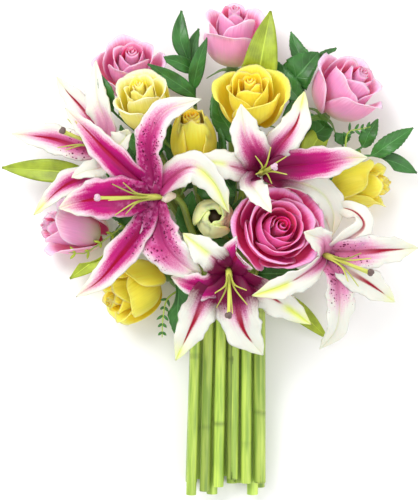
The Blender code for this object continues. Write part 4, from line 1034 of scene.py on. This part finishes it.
def sweep_tree():
    """A ridged tube along every line of the geometry, as thick as the line says."""
    made = Tree("sweep", Sides="Int", Ridges="Float", Depth="Float", Finish="Material")
    curve = made.add("GeometryNodeMeshToCurve", {"Mesh": made.inputs["Geometry"]}).outputs[0]
    circle = made.add("GeometryNodeCurvePrimitiveCircle", {"Resolution": made.inputs["Sides"], "Radius": 1.0},
                      mode="RADIUS").outputs[0]
    turn = made.add("GeometryNodeSplineParameter", {}).outputs["Factor"]
    circle = made.keep(circle, "around", turn)
    angle = made.calc("MULTIPLY", made.calc("MULTIPLY", turn, made.inputs["Ridges"]), 2 * math.pi)
    swing = made.calc("MULTIPLY", made.calc("SINE", angle), made.inputs["Depth"])
    size = made.calc("ADD", 1.0, swing)
    place = made.add("GeometryNodeInputPosition", {}).outputs[0]
    wider = made.add("ShaderNodeVectorMath", {0: place, "Scale": size}, operation="SCALE").outputs[0]
    circle = made.add("GeometryNodeSetPosition", {"Geometry": circle, "Position": wider}).outputs[0]
    skin = made.add("GeometryNodeCurveToMesh", {"Curve": curve, "Profile Curve": circle, "Fill Caps": True,
                                                "Scale": made.read("thick")}).outputs[0]
    skin = made.add("GeometryNodeSetShadeSmooth", {"Geometry": skin, "Shade Smooth": True}).outputs[0]
    return made.end(skin, made.inputs["Finish"])


def papillae_tree():
    """Small cones scattered where the mesh asks for them."""
    made = Tree("papillae", Density="Float", Height="Float", Finish="Material")
    density = made.calc("MULTIPLY", made.read("bumps"), made.inputs["Density"])
    spots = made.add("GeometryNodeDistributePointsOnFaces",
                     {"Mesh": made.inputs["Geometry"], "Density": density, "Seed": PAPILLA_SEEDS[0]})
    high = made.inputs["Height"]
    cone = made.add("GeometryNodeMeshCone", {"Vertices": 5, "Side Segments": 1, "Fill Segments": 1,
                                             "Radius Top": made.calc("MULTIPLY", high, 0.16),
                                             "Radius Bottom": made.calc("MULTIPLY", high, 0.5),
                                             "Depth": high}).outputs[0]
    size = made.add("FunctionNodeRandomValue", {2: 0.55, 3: 1.2, "Seed": PAPILLA_SEEDS[1]},
                    data_type="FLOAT").outputs[1]
    placed = made.add("GeometryNodeInstanceOnPoints", {"Points": spots.outputs["Points"], "Instance": cone,
                                                       "Rotation": spots.outputs["Rotation"], "Scale": size})
    return made.end(placed.outputs[0], made.inputs["Finish"])


def lines_mesh(lines):
    """Polylines (points, radii, knots) in millimetres as loose edges with their thickness."""
    points, edges, thick, along, knots, picks = [], [], [], [], [], []
    for number, (line, radii, knot) in enumerate(lines):
        first = len(points)
        points += (line * MM).tolist()
        edges += [(first + i, first + i + 1) for i in range(len(line) - 1)]
        thick += (np.asarray(radii) * MM).tolist()
        along += (distances(line) * MM).tolist()
        knots += list(knot)
        picks += [float(3 * number + line[0][0])] * len(line)
    mesh = bpy.data.meshes.new("lines")
    mesh.from_pydata(points, edges, [])
    for label, values in (("thick", thick), ("along", along), ("knot", knots), ("pick", picks)):
        mesh.attributes.new(label, "FLOAT", "POINT").data.foreach_set("value", np.array(values, np.float32))
    return mesh


def swept(name, lines, finish, sides, ridges=0.0, depth=0.0):
    """A tube along each of LINES, as one mesh."""
    tree = bpy.data.node_groups.get("sweep") or sweep_tree()
    return grown_mesh(name, lines_mesh(lines), tree, Sides=sides, Ridges=ridges, Depth=depth, Finish=finish)


# Stems
def slot_places():
    """For each stem its place at the tie and at the cut end, packed like pencils in a hand."""
    draw = random.Random(SLOT_SEED)
    places = {}
    for row, names in enumerate(SLOTS):
        for column, name in enumerate(names):
            step = column - 0.5 * (len(names) - 1)
            tie = (TIE_X + step * TIE_PITCH, TIE_Y, TIE_Z + row * ROW_RISE * TIE_PITCH)
            end = (END_X + step * END_PITCH + draw.uniform(-0.5, 0.5), END_Y + draw.uniform(-1, 18),
                   END_Z + row * ROW_RISE * END_PITCH)
            places[name] = (np.array(tie), np.array(end))
    return places


def goal(point, facing, below, neck):
    """The end of a stem, BELOW the flower at POINT, with its facing and the stem's radius there."""
    axis = unit(facing)
    return np.array(point, float) - below * axis, axis, neck


def goals(stem):
    """Where a stem ends: (point, facing, neck radius) for each flower or spray on it."""
    if stem in GREEN_ENDS:
        return [goal(*GREEN_ENDS[stem], 0.0, TWIG_END)]
    if stem in LILY_STEMS:
        return [goal(BUD_BASE, BUD_FACING, GAP, LILY_NECK) if flower == "lily_bud" else
                goal(*LILIES[flower][:2], 1.35 * LILY_TUBE + GAP, LILY_NECK) for flower in LILY_STEMS[stem]]
    centre, facing, _, height = ROSES[stem.replace("stem_", "")][:4]
    return [goal(centre, facing, 0.5 * height + GAP + CALYX_DEPTH, NECK_RADIUS)]


def first_routes():
    """Each stem's first line: straight to the tie, then a bow to its flower."""
    routes = []
    for name, (tie, end) in slot_places().items():
        heading = unit(tie - end)
        for point, facing, neck in goals(name):
            reach = np.linalg.norm(point - tie)
            straight = [end + (tie - end) * t for t in np.linspace(0, 1, STRAIGHT_POINTS, endpoint=False)]
            bow = bezier(tie, tie + 0.38 * reach * heading, point - 0.36 * reach * facing, point,
                         np.linspace(0, 1, BOW_POINTS))
            line = np.vstack([straight, bow])
            share = np.clip((np.arange(len(line)) - STRAIGHT_POINTS) / (BOW_POINTS - 1.0), 0, 1)
            routes.append([name, line, STEM_RADIUS + (neck - STEM_RADIUS) * share])
    return routes


def push_off(points, others, room, apart=True):
    """How far each point would have to move to be ROOM away from each of OTHERS."""
    offset = points[:, None] - others[None, :]
    far = np.linalg.norm(offset, axis=2) + SMALL
    push = np.where(apart & (far < room), (room - far) / far, 0.0)
    return np.einsum("ij,ijk->ik", push, offset)


def relax(routes):
    """Stems pushed off each other, off the heads and off the tepals, and kept smooth."""
    obstacles = np.concatenate([tepal(lily, i)[1:].reshape(-1, 3) for lily in LILIES for i in range(6)])
    count = STRAIGHT_POINTS + BOW_POINTS
    names = [name for name, *_ in routes]
    points = np.concatenate([line for _, line, _ in routes])
    radii = np.concatenate([radius for *_, radius in routes])
    owner = np.repeat([names.index(name) for name in names], count)
    place = np.tile(np.arange(count), len(routes))
    free = (place >= STRAIGHT_POINTS + HOLD_AT_TIE) & (place < count - HOLD_AT_HEAD)
    reach = radii[:, None] + radii[None, :] + STEM_ROOM
    other = owner[:, None] != owner[None, :]
    for step in range(RELAX_ROUNDS):
        move = 0.45 * push_off(points, points, reach, other)
        move += 0.35 * push_off(points, obstacles, radii[:, None] + TEPAL_ROOM)
        size = np.linalg.norm(move, axis=1, keepdims=True)
        points[free] += (move * np.minimum(1.0, MOST_STEP / np.maximum(size, SMALL)))[free]
        for i, name in enumerate(names):
            part = slice(i * count, (i + 1) * count)
            line, keep = points[part], free[part]
            pushed = clear_of_heads(line, STEM_RADIUS, LILY_STEMS.get(name, (name.replace("stem_", ""),)))
            if step < RELAX_ROUNDS - LAST_ROUNDS:
                pushed[1:-1] += 0.35 * ((pushed[:-2] + pushed[2:]) / 2 - pushed[1:-1])
            line[keep] = pushed[keep]
            line[keep, 2] = np.maximum(line[keep, 2], radii[part][keep] + LEAF_CLEAR)
    return [[name, points[i * count:(i + 1) * count], radius] for i, (name, _, radius) in enumerate(routes)]


ROUTES = relax(first_routes())


def stem_lines(stem):
    """The stem's own lines, smooth, with a swelling at each knot."""
    draw = random.Random(stem)
    lines, slim = [], draw.uniform(0.86, 1.0)
    for name, line, radii in ROUTES:
        if name != stem:
            continue
        picked = [0, STRAIGHT_POINTS, *range(STRAIGHT_POINTS + 4, len(line) - 3, 5), len(line) - 1]
        fine = smooth_curve(line[picked], 90, 24)
        share = np.linspace(0, 1, len(fine))
        fine = above_floor(fine, 1.03 * np.interp(share, [0, 1], [radii[0], radii[-1]]))
        along = distances(line[picked])
        where = share * along[-1]
        thick = np.interp(where, along, radii[picked])
        knot = np.zeros(len(fine))
        spot = draw.uniform(20, 180)
        while spot < along[-1] - 30:
            knot = np.maximum(knot, draw.uniform(0.25, 0.85) * np.exp(-((where - spot) / 1.6)**2))
            spot += draw.uniform(90, 170)
        lines.append((fine, thick * slim * (0.985 + 0.05 * knot), knot))
    return lines


def nearest_on(stem, point):
    lines = np.concatenate([line[STRAIGHT_POINTS + 3:-2] for name, line, _ in ROUTES if name == stem])
    return lines[np.argmin(np.linalg.norm(lines - point, axis=1))]


def cut_end(shape, stem, finish):
    """The pale face of the cut at the lower end of a stem."""
    line, thick, _ = stem_lines(stem)[0]
    axis = unit(line[0] - line[3])
    shape.turned([ring_of(line[0] + lift * axis, axis, thick[0] * share, 20)
                  for lift, share in ((-0.3, 0.93), (0.12, 0.92), (0.22, 0.86), (0.30, 0.5))], finish)


def leaf(look, shape, stem, half_width, toothed, points, finish, seed):
    """A stalk from the stem and a blade folded a little along its midrib."""
    rows, columns = (64, 10) if toothed else (36, 10)
    points = np.array(points, float)
    root = nearest_on(stem, points[0])
    stalk = np.linalg.norm(points[0] - root)
    body = distances(points)[-1]
    share = stalk / (stalk + body)
    line = smooth_curve([root, *points], rows, 24)
    steps = np.linspace(0, 1, rows + 1)
    inside = np.clip((steps - share) / (1 - share), 0, 1)
    widths = np.where(steps <= share, 0.0, np.sin(math.pi * inside**0.75)**0.8)
    if toothed:
        widths = widths * (1.0 - look.tooth * ((inside * 1.9 * body / half_width) % 1.0))
    widths = np.maximum(widths, 1.0 / half_width)
    grid = blade(line, half_width, (0.0, 0.0, 1.0), widths, columns, fold=0.22, wave=1.0, phase=half_width)
    grid[1:] = clear_of_heads(grid[1:], LEAF_MARGIN)
    thick = look.thickness / MM + smoothstep(share + 0.03, share - 0.03, steps)
    shape.blade(above_floor(grid), thick, (random.Random(seed).random(), 0, 0, 0), 1.0, finish, seed)


def back_leaf(stem):
    """Points of the leaf on the hidden side of a rose stem."""
    line = next(line for name, line, _ in ROUTES if name == stem)
    side = 1 if line[-1][0] < TIE_X else -1
    root = line[STRAIGHT_POINTS + int(BACK_LEAF * (BOW_POINTS - 1))]
    heading = unit(line[-1] - root)
    out = unit(np.array((heading[1] * side, -heading[0] * side, -0.5)) + 0.9 * heading)
    return [root + 12 * out, root + 28 * out + (0, 0, 3), root + 48 * out + (0, 0, -2)]


def leaves(look, shape, stem, finish):
    for number, row in enumerate(LEAVES):
        if row[0] == stem:
            leaf(look, shape, *row, finish, 1.0 + number)
    if stem.startswith("stem_rose"):
        leaf(look, shape, stem, 10, True, back_leaf(stem), finish, 60.0 + len(stem))


def calyx(shape, rose, finish):
    """The green cup under a rose and its five sepals, turned outwards and back."""
    centre, facing, _, height = ROSES[rose][:4]
    axis = unit(facing)
    seat = np.array(centre) - (0.5 * height + GAP) * axis
    rings = []
    for t in np.linspace(0, 1, 12):
        radius = 3.2 + (CALYX_RADIUS - 3.2) * math.sin(math.pi * min(1.0, t * 0.62 + 0.05))**1.4
        rings.append(ring_of(seat + CALYX_FOOT * (t - 1.0) * axis, axis, radius, 24))
    shape.turned(above_floor(np.array(rings)), finish)
    steps = np.linspace(0, 1, 23)
    widths = np.maximum((1 - steps)**0.8 * (0.75 + 0.35 * np.sin(math.pi * steps)), 0.06)
    widths = widths * (1 + 0.12 * np.sin(18 * steps) * (steps > 0.3))
    for i in range(5):
        out = rays(axis, 2 * math.pi * (i + 0.5) / 5 + CALYX_TURN)
        line = smooth_curve([seat + lift * axis + away * out for away, lift in SEPAL], 22, 12)
        grid = above_floor(blade(line, 4.2, axis, widths, 6, fold=0.25))
        shape.blade(grid, 0.8, (0.5, 0, 0, 0), 1.0, finish, i)


def twig_lines(stem):
    """The twigs of a stem as lines with their thickness."""
    lines = []
    for name, points in TWIGS:
        if name == stem:
            line = smooth_curve([nearest_on(stem, points[0]), *points], 24)
            lines.append((line, np.linspace(*TWIG_THICK, 25), np.zeros(25)))
    return lines


def leaflets(shape, stem, finish):
    """Small narrow leaves in pairs along each twig."""
    widths = np.maximum(np.sin(math.pi * np.linspace(0.05, 1, 9))**0.7, 0.08)
    for number, (line, *_) in enumerate(twig_lines(stem)):
        draw = random.Random(number + len(stem))
        for place in range(10, 25, 3):
            ahead = unit(line[min(place + 1, 24)] - line[place - 1])
            for side in (-1, 1):
                out = unit(np.cross((0, 0, side), ahead) + 0.9 * ahead)
                reach = draw.uniform(5, 9)
                root = line[place]
                knots = [root, root + 0.5 * reach * out + (0, 0, 0.8), root + reach * out]
                grid = blade(smooth_curve(knots, 8), 1.3, (0.0, 0.0, 1.0), widths, 4, fold=0.2)
                shape.blade(grid, 0.5, (draw.random(), 0, 0, 0), 1.0, finish, place)


# The lily's middle, bud and band
def filament_lines(lily):
    """Six filaments and the style as lines with their thickness."""
    throat, facing, stigma, _ = LILIES[lily]
    axis = unit(facing)
    hub = np.array(throat) + HUB_LIFT * axis
    foot = np.array(throat) - 2.0 * axis
    lines = []
    for i in range(6):
        out = rays(axis, 2 * math.pi * (i + 0.5) / 6)
        knots = [foot + 1.6 * out, hub + 1.8 * out]
        knots += [hub + along * axis + away * out for along, away in (FILAMENT_BEND, FILAMENT_END)]
        lines.append((smooth_curve(knots, 26, 16), np.linspace(1.25, 0.45, 27), np.zeros(27)))
    stigma = np.array(stigma, float)
    line = smooth_curve([foot, hub, hub + 0.5 * (stigma - hub) + 4 * axis, stigma], 32, 16)
    thick = np.interp(np.linspace(0, 1, 33), [0, 0.22, 0.34, 0.9, 1], [2.8, 3.0, 1.7, 1.45, 1.9])
    return [*lines, (line, thick, np.zeros(33))]


def stigma_shape(lily, finish):
    """Three rounded lobes with furrows between them."""
    throat, _, stigma, _ = LILIES[lily]
    heading = unit(np.array(stigma, float) - np.array(throat))
    angle = np.linspace(0, 2 * math.pi, 30, endpoint=False)
    lobes = 1.0 - 0.30 * np.abs(np.cos(1.5 * angle))**6
    rings = []
    for t in np.linspace(0.04, 0.96, 10):
        out = STIGMA_RADIUS * math.sin(math.pi * t)**0.6 * lobes
        lift = -2.6 * math.cos(math.pi * t) - 0.9 * (1 - lobes) * (t > 0.5)
        rings.append(np.array(stigma) + np.outer(lift, heading) + out[:, None] * rays(heading, angle))
    shape = Shape()
    shape.turned(rings)
    return shape.mesh("stigma_" + lily, [finish])


def bud_bloom(finishes):
    """Tepals still closed round a six-sided mouth, their tips just turned out."""
    axis = unit(BUD_FACING)
    base = np.array(BUD_BASE, float)
    v, u = shares(36, 24)
    rise = np.interp(v, [0, 0.25, 0.5, 0.75, 0.9, 1.0], [0.03, 0.24, 0.52, 0.85, 0.98, 0.97])
    reach = np.interp(v, [0, 0.12, 0.3, 0.5, 0.70, 0.82, 0.90, 0.96, 1.0],
                      [0.20, 0.66, 0.92, 0.95, 0.82, 0.62, 0.46, 0.42, 0.52])
    wide = 0.34 + 0.92 * np.sin(math.pi * np.minimum(0.12 + 0.60 * v, 1.0))
    ridge = 1.2 * np.exp(-(u / 0.3)**2) * np.sin(math.pi * v)
    shape = Shape()
    for layer, (size, tall) in enumerate(((1.0, 0.97), (0.78, 1.0))):
        for i in range(3):
            turn = 0.2 + 2 * math.pi * (i + 0.5 * layer) / 3
            angle = turn + u * wide * (1.0 - 0.30 * smoothstep(0.8, 1.0, v))
            out = reach * BUD_RADIUS * size + 1.9 * u * smoothstep(0.05, 0.4, v)
            out = out + 1.2 * np.abs(u)**3 * smoothstep(0.4, 0.9, v)
            height = tall * rise * BUD_HEIGHT - 2.6 * np.abs(u - 0.1)**2 * smoothstep(0.7, 1.0, v)
            grid = base + (out + ridge)[..., None] * rays(axis, angle) + height[..., None] * axis
            shape.blade(grid, 1.6, (0.3 + 0.2 * i, 0.5 * layer, 0, 0), 1.0, 0, i + 3 * layer)
    # A dark core inside the mouth, which is painted shade in the hole
    core = ((0.01, 4.0), (0.10, 8.0), (0.35, 10.5), (0.60, 8.0), (0.74, 4.0))
    shape.turned([ring_of(base + t * BUD_HEIGHT * axis, axis, radius, 24) for t, radius in core], 1)
    return shape.mesh("lily_bud", finishes)


def hull(spots):
    """The points round the outside of SPOTS, thinned to a step of at least 3 mm."""
    spots = sorted(set((round(x, 3), round(z, 3)) for x, z in spots))
    chain = []
    for row in (spots, spots[::-1]):
        part = []
        for spot in row:
            while len(part) > 1 and turn_of(part[-2], part[-1], spot) <= 0:
                part.pop()
            part.append(spot)
        chain += part[:-1]
    kept = [chain[0]]
    for spot in chain[1:]:
        if math.dist(spot, kept[-1]) > 3.0:
            kept.append(spot)
    return np.array(kept)


def turn_of(a, b, c):
    return (b[0] - a[0]) * (c[1] - a[1]) - (b[1] - a[1]) * (c[0] - a[0])


def band_mesh(finish):
    """A flat band stretched round the packed stems, its edges rounded."""
    spots = []
    for _, line, radii in ROUTES:
        x, _, z = line[STRAIGHT_POINTS]
        room = radii[STRAIGHT_POINTS] + BAND_ROOM
        for angle in np.linspace(0, 2 * math.pi, 24, endpoint=False):
            spots.append((x + room * math.cos(angle), z + room * math.sin(angle)))
    outline = hull(spots)
    loop = smooth_curve([(x, TIE_Y, z) for x, z in np.vstack([outline, outline[:1]])], 160, 8)[:-1]
    out = loop - loop.mean(axis=0)
    out /= np.linalg.norm(out, axis=1, keepdims=True)
    rings = [[p + away * BAND_THICK * o + np.array((0, side * BAND_WIDTH, 0)) for away, side in BAND_SECTION]
             for p, o in zip(loop, out)]
    shape = Shape()
    shape.turned([*rings, rings[0]], caps=False)
    return shape.mesh("tie_band", [finish])


# Operators
class BOUQUET_OT_roses(bpy.types.Operator):
    """Build the ten rose blooms"""

    bl_idname = "bouquet.roses"
    bl_label = "Roses"

    def execute(self, context):
        look = context.scene.bouquet_roses
        finishes = {}
        for rose, row in ROSES.items():
            variety = row[7]
            if variety not in finishes:
                finishes[variety] = petal_finish(look, variety)
            piece("bloom_" + rose, rose_bloom(look, rose, finishes[variety]), rose)
        return {"FINISHED"}


class BOUQUET_OT_lilies(bpy.types.Operator):
    """Build the five open lilies with the small bumps near their throats"""

    bl_idname = "bouquet.lilies"
    bl_label = "Lilies"

    def execute(self, context):
        look = context.scene.bouquet_lilies
        skin = tepal_finish(look)
        colour = [0.8 * back + 0.2 * tip for back, tip in zip(look.back, look.tip)]
        tube = plain_finish("lily_tube", colour, 0.5, 90.0, 0.0006)
        bumps = plain_finish("papillae", look.spot, 0.45, 200.0, 0.0003)
        tree = papillae_tree()
        for lily in LILIES:
            made = piece("bloom_" + lily, lily_bloom(look, lily, [skin, tube]), lily)
            source = made.data.copy()
            add_bump_places(source)
            grown = grown_mesh("papillae_" + lily, source, tree, Density=look.papilla_density,
                               Height=look.papilla, Finish=bumps)
            piece("papillae_" + lily, grown, lily)
        return {"FINISHED"}


def add_bump_places(mesh):
    """Marks the faces of the inner side that carry bumps, by their place on the tepal."""
    count = len(mesh.polygons)
    side = np.empty(count, np.float32)
    mesh.attributes["side"].data.foreach_get("value", side)
    flat = np.empty(len(mesh.loops) * 2, np.float32)
    mesh.uv_layers["UVMap"].data.foreach_get("uv", flat)
    starts = np.empty(count, np.int32)
    mesh.polygons.foreach_get("loop_start", starts)
    corners = np.empty(len(mesh.loops), np.int32)
    mesh.loops.foreach_get("vertex_index", corners)
    mark = np.empty(len(mesh.vertices) * 4, np.float32)
    mesh.attributes["mark"].data.foreach_get("color", mark)
    flat, mark = flat.reshape(-1, 2)[starts], mark.reshape(-1, 4)[corners[starts]]
    across, along = np.abs(2 * flat[:, 0] - 1), flat[:, 1]
    value = (side > 0.5) * smoothstep(0.05, 0.40, mark[:, 3] - along) * smoothstep(0.05, 0.12, along)
    width = mark[:, 1]
    value = value * smoothstep(0.12, 0.3, across) * (1 - smoothstep(0.75 * width, 0.95 * width, across))
    layer = mesh.attributes.new("bumps", "FLOAT", "FACE")
    layer.data.foreach_set("value", value.astype(np.float32))


class BOUQUET_OT_filaments(bpy.types.Operator):
    """Build the filaments, styles and stigmas of the lilies"""

    bl_idname = "bouquet.filaments"
    bl_label = "Filaments"

    def execute(self, context):
        look = context.scene.bouquet_lilies
        green = stem_finish("filament_green", look.filament, shaded(look.filament, 0.75))
        pale = plain_finish("stigma_pale", look.stigma, 0.55, 700.0, 0.0004)
        ripe = plain_finish("stigma_ripe", look.ripe, 0.55, 700.0, 0.0004)
        for lily in LILIES:
            node = "filaments_" + lily
            top = pale if lily in PALE_STIGMAS else ripe
            lines = swept(node, filament_lines(lily), green, 12)
            piece("filaments_and_style_" + lily, lines, node)
            piece("stigma_" + lily, stigma_shape(lily, top), node)
        return {"FINISHED"}


class BOUQUET_OT_bud(bpy.types.Operator):
    """Build the opening lily bud"""

    bl_idname = "bouquet.bud"
    bl_label = "Lily bud"

    def execute(self, context):
        look = context.scene.bouquet_lilies
        skin = bud_finish(look)
        # The bud's dark brown core is painted shade inside its mouth
        dark = plain_finish("bud_core_painted_shade", linear((0.32, 0.24, 0.16)), 0.6, 300.0, 0.0005)
        piece("opening_bud", bud_bloom([skin, dark]), "lily_bud")
        return {"FINISHED"}


def green_finishes(look):
    """Finishes that stems share, made once."""
    made = {"stem_skin": lambda name: stem_finish(name, look.stem_light, look.stem_dark),
            "lily_leaf": lambda name: leaf_finish(name, look.lily_leaf, -6, 0.42),
            "rose_leaf": lambda name: leaf_finish(name, look.rose_leaf, 9, 0.36),
            "calyx_skin": lambda name: leaf_finish(name, look.calyx, -4, 0.45),
            "stem_cut": lambda name: plain_finish(name, look.stem_cut, 0.7, 900.0, 0.0004)}
    return {name: bpy.data.materials.get(name) or make(name) for name, make in made.items()}


def build_stems(context, stems, leaf_name):
    """Each stem as its swept stalk, its twigs if it has any, and its leaves, calyx and cut end."""
    look = context.scene.bouquet_greens
    skin = green_finishes(look)
    for stem in stems:
        ridges = 5.0 if stem in GREEN_ENDS else 7.0
        stalk = swept("stalk", stem_lines(stem), skin["stem_skin"], 28, ridges, look.ridge)
        piece("stalk_" + stem, stalk, stem)
        twigs = twig_lines(stem)
        if twigs:
            piece("twigs_" + stem, swept("twigs", twigs, skin["stem_skin"], 8), stem)
        shape = Shape()
        leaves(look, shape, stem, 0)
        leaflets(shape, stem, 0)
        if stem.startswith("stem_rose"):
            calyx(shape, stem.replace("stem_", ""), 1)
        cut_end(shape, stem, 2)
        finishes = [skin[name] for name in (leaf_name, "calyx_skin", "stem_cut")]
        piece("leaves_" + stem, shape.mesh("leaves", finishes), stem)
    return {"FINISHED"}


class BOUQUET_OT_rose_stems(bpy.types.Operator):
    """Build the rose stems with their leaves and calyxes"""

    bl_idname = "bouquet.rose_stems"
    bl_label = "Rose stems"

    def execute(self, context):
        return build_stems(context, ["stem_" + rose for rose in ROSES], "rose_leaf")


class BOUQUET_OT_lily_stems(bpy.types.Operator):
    """Build the lily stems with their lance-shaped leaves"""

    bl_idname = "bouquet.lily_stems"
    bl_label = "Lily stems"

    def execute(self, context):
        return build_stems(context, LILY_STEMS, "lily_leaf")


class BOUQUET_OT_greens(bpy.types.Operator):
    """Build the dark leafy stems between the flowers"""

    bl_idname = "bouquet.greens"
    bl_label = "Greens"

    def execute(self, context):
        return build_stems(context, GREEN_ENDS, "rose_leaf")


class BOUQUET_OT_band(bpy.types.Operator):
    """Build the band that ties the stems"""

    bl_idname = "bouquet.band"
    bl_label = "Band"

    def execute(self, context):
        look = context.scene.bouquet_greens
        rubber = plain_finish("band_rubber", look.band, 0.6, 250.0, 0.0003)
        piece("rubber_band", band_mesh(rubber), "tie_band")
        return {"FINISHED"}


def lamp(name, place, size, power):
    """A soft square lamp at PLACE, aimed at the bouquet."""
    data = bpy.data.lights.new(name, "AREA")
    data.energy, data.size = power, size
    made = bpy.data.objects.new(name, data)
    bpy.context.scene.collection.objects.link(made)
    made.location = place
    aim = unit(np.array(place) - np.array((0.0, 0.0, 0.05)))
    made.rotation_euler = (math.acos(aim[2]), 0.0, math.atan2(aim[1], aim[0]) + math.pi / 2)


class BOUQUET_OT_stage(bpy.types.Operator):
    """Add the pale floor, the soft lights and the camera"""

    bl_idname = "bouquet.stage"
    bl_label = "Stage"

    def execute(self, context):
        look = context.scene.bouquet_stage
        scene = context.scene
        floor = bpy.data.meshes.new("floor")
        corners = [(-6.0, -6.0, 0), (6.0, -6.0, 0), (6.0, 6.0, 0), (-6.0, 6.0, 0)]
        floor.from_pydata(corners, [], [(0, 1, 2, 3)])
        ground = Finish("floor", Roughness=0.9, Specular_IOR_Level=0.1)
        floor.materials.append(ground.done((*look.floor, 1.0)))
        base = bpy.data.objects.new("floor", floor)
        scene.collection.objects.link(base)
        world = bpy.data.worlds.new("studio")
        world.use_nodes = True
        light = world.node_tree.nodes["Background"]
        light.inputs["Color"].default_value = (1.0, 1.0, 1.0, 1.0)
        light.inputs["Strength"].default_value = look.sky
        scene.world = world
        lamp("key", (-0.9, 1.1, 1.9), 1.2, look.key)
        lamp("fill", (1.3, -0.6, 1.6), 1.6, 0.35 * look.key)
        data = bpy.data.cameras.new("camera")
        data.sensor_fit, data.sensor_height, data.lens = "VERTICAL", 36.0, look.lens
        camera = bpy.data.objects.new("camera", data)
        camera.location = (0.0, 0.0, look.camera_height)
        scene.collection.objects.link(camera)
        scene.camera = camera
        scene.view_settings.view_transform = "Standard"
        return {"FINISHED"}


class BOUQUET_PT_panel(bpy.types.Panel):
    """Buttons and settings of the bouquet"""

    bl_idname = "BOUQUET_PT_panel"
    bl_label = "Bouquet"
    bl_space_type = "VIEW_3D"
    bl_region_type = "UI"
    bl_category = "Bouquet"

    def draw(self, context):
        for step in STEPS:
            self.layout.operator(step.bl_idname)
        for name, group in GROUPS.items():
            box = self.layout.box()
            box.label(text=group.__doc__)
            look = getattr(context.scene, name)
            for key in group.__annotations__:
                box.prop(look, key)


STEPS = (BOUQUET_OT_roses, BOUQUET_OT_lilies, BOUQUET_OT_filaments, BOUQUET_OT_bud, BOUQUET_OT_rose_stems,
         BOUQUET_OT_lily_stems, BOUQUET_OT_greens, BOUQUET_OT_band, BOUQUET_OT_stage)
GROUPS = {"bouquet_roses": RoseSettings, "bouquet_lilies": LilySettings, "bouquet_greens": GreenSettings,
          "bouquet_stage": StageSettings}


def register():
    for made in (*GROUPS.values(), *STEPS, BOUQUET_PT_panel):
        bpy.utils.register_class(made)
    for name, group in GROUPS.items():
        setattr(bpy.types.Scene, name, bpy.props.PointerProperty(type=group))


def unregister():
    for name in GROUPS:
        delattr(bpy.types.Scene, name)
    for made in (BOUQUET_PT_panel, *reversed(STEPS), *reversed(GROUPS.values())):
        bpy.utils.unregister_class(made)


def main():
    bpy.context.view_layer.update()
    register()
    bpy.ops.bouquet.roses()
    bpy.ops.bouquet.lilies()
    bpy.ops.bouquet.filaments()
    bpy.ops.bouquet.bud()
    bpy.ops.bouquet.rose_stems()
    bpy.ops.bouquet.lily_stems()
    bpy.ops.bouquet.greens()
    bpy.ops.bouquet.band()
    bpy.ops.bouquet.stage()


if __name__ == "__main__":
    main()
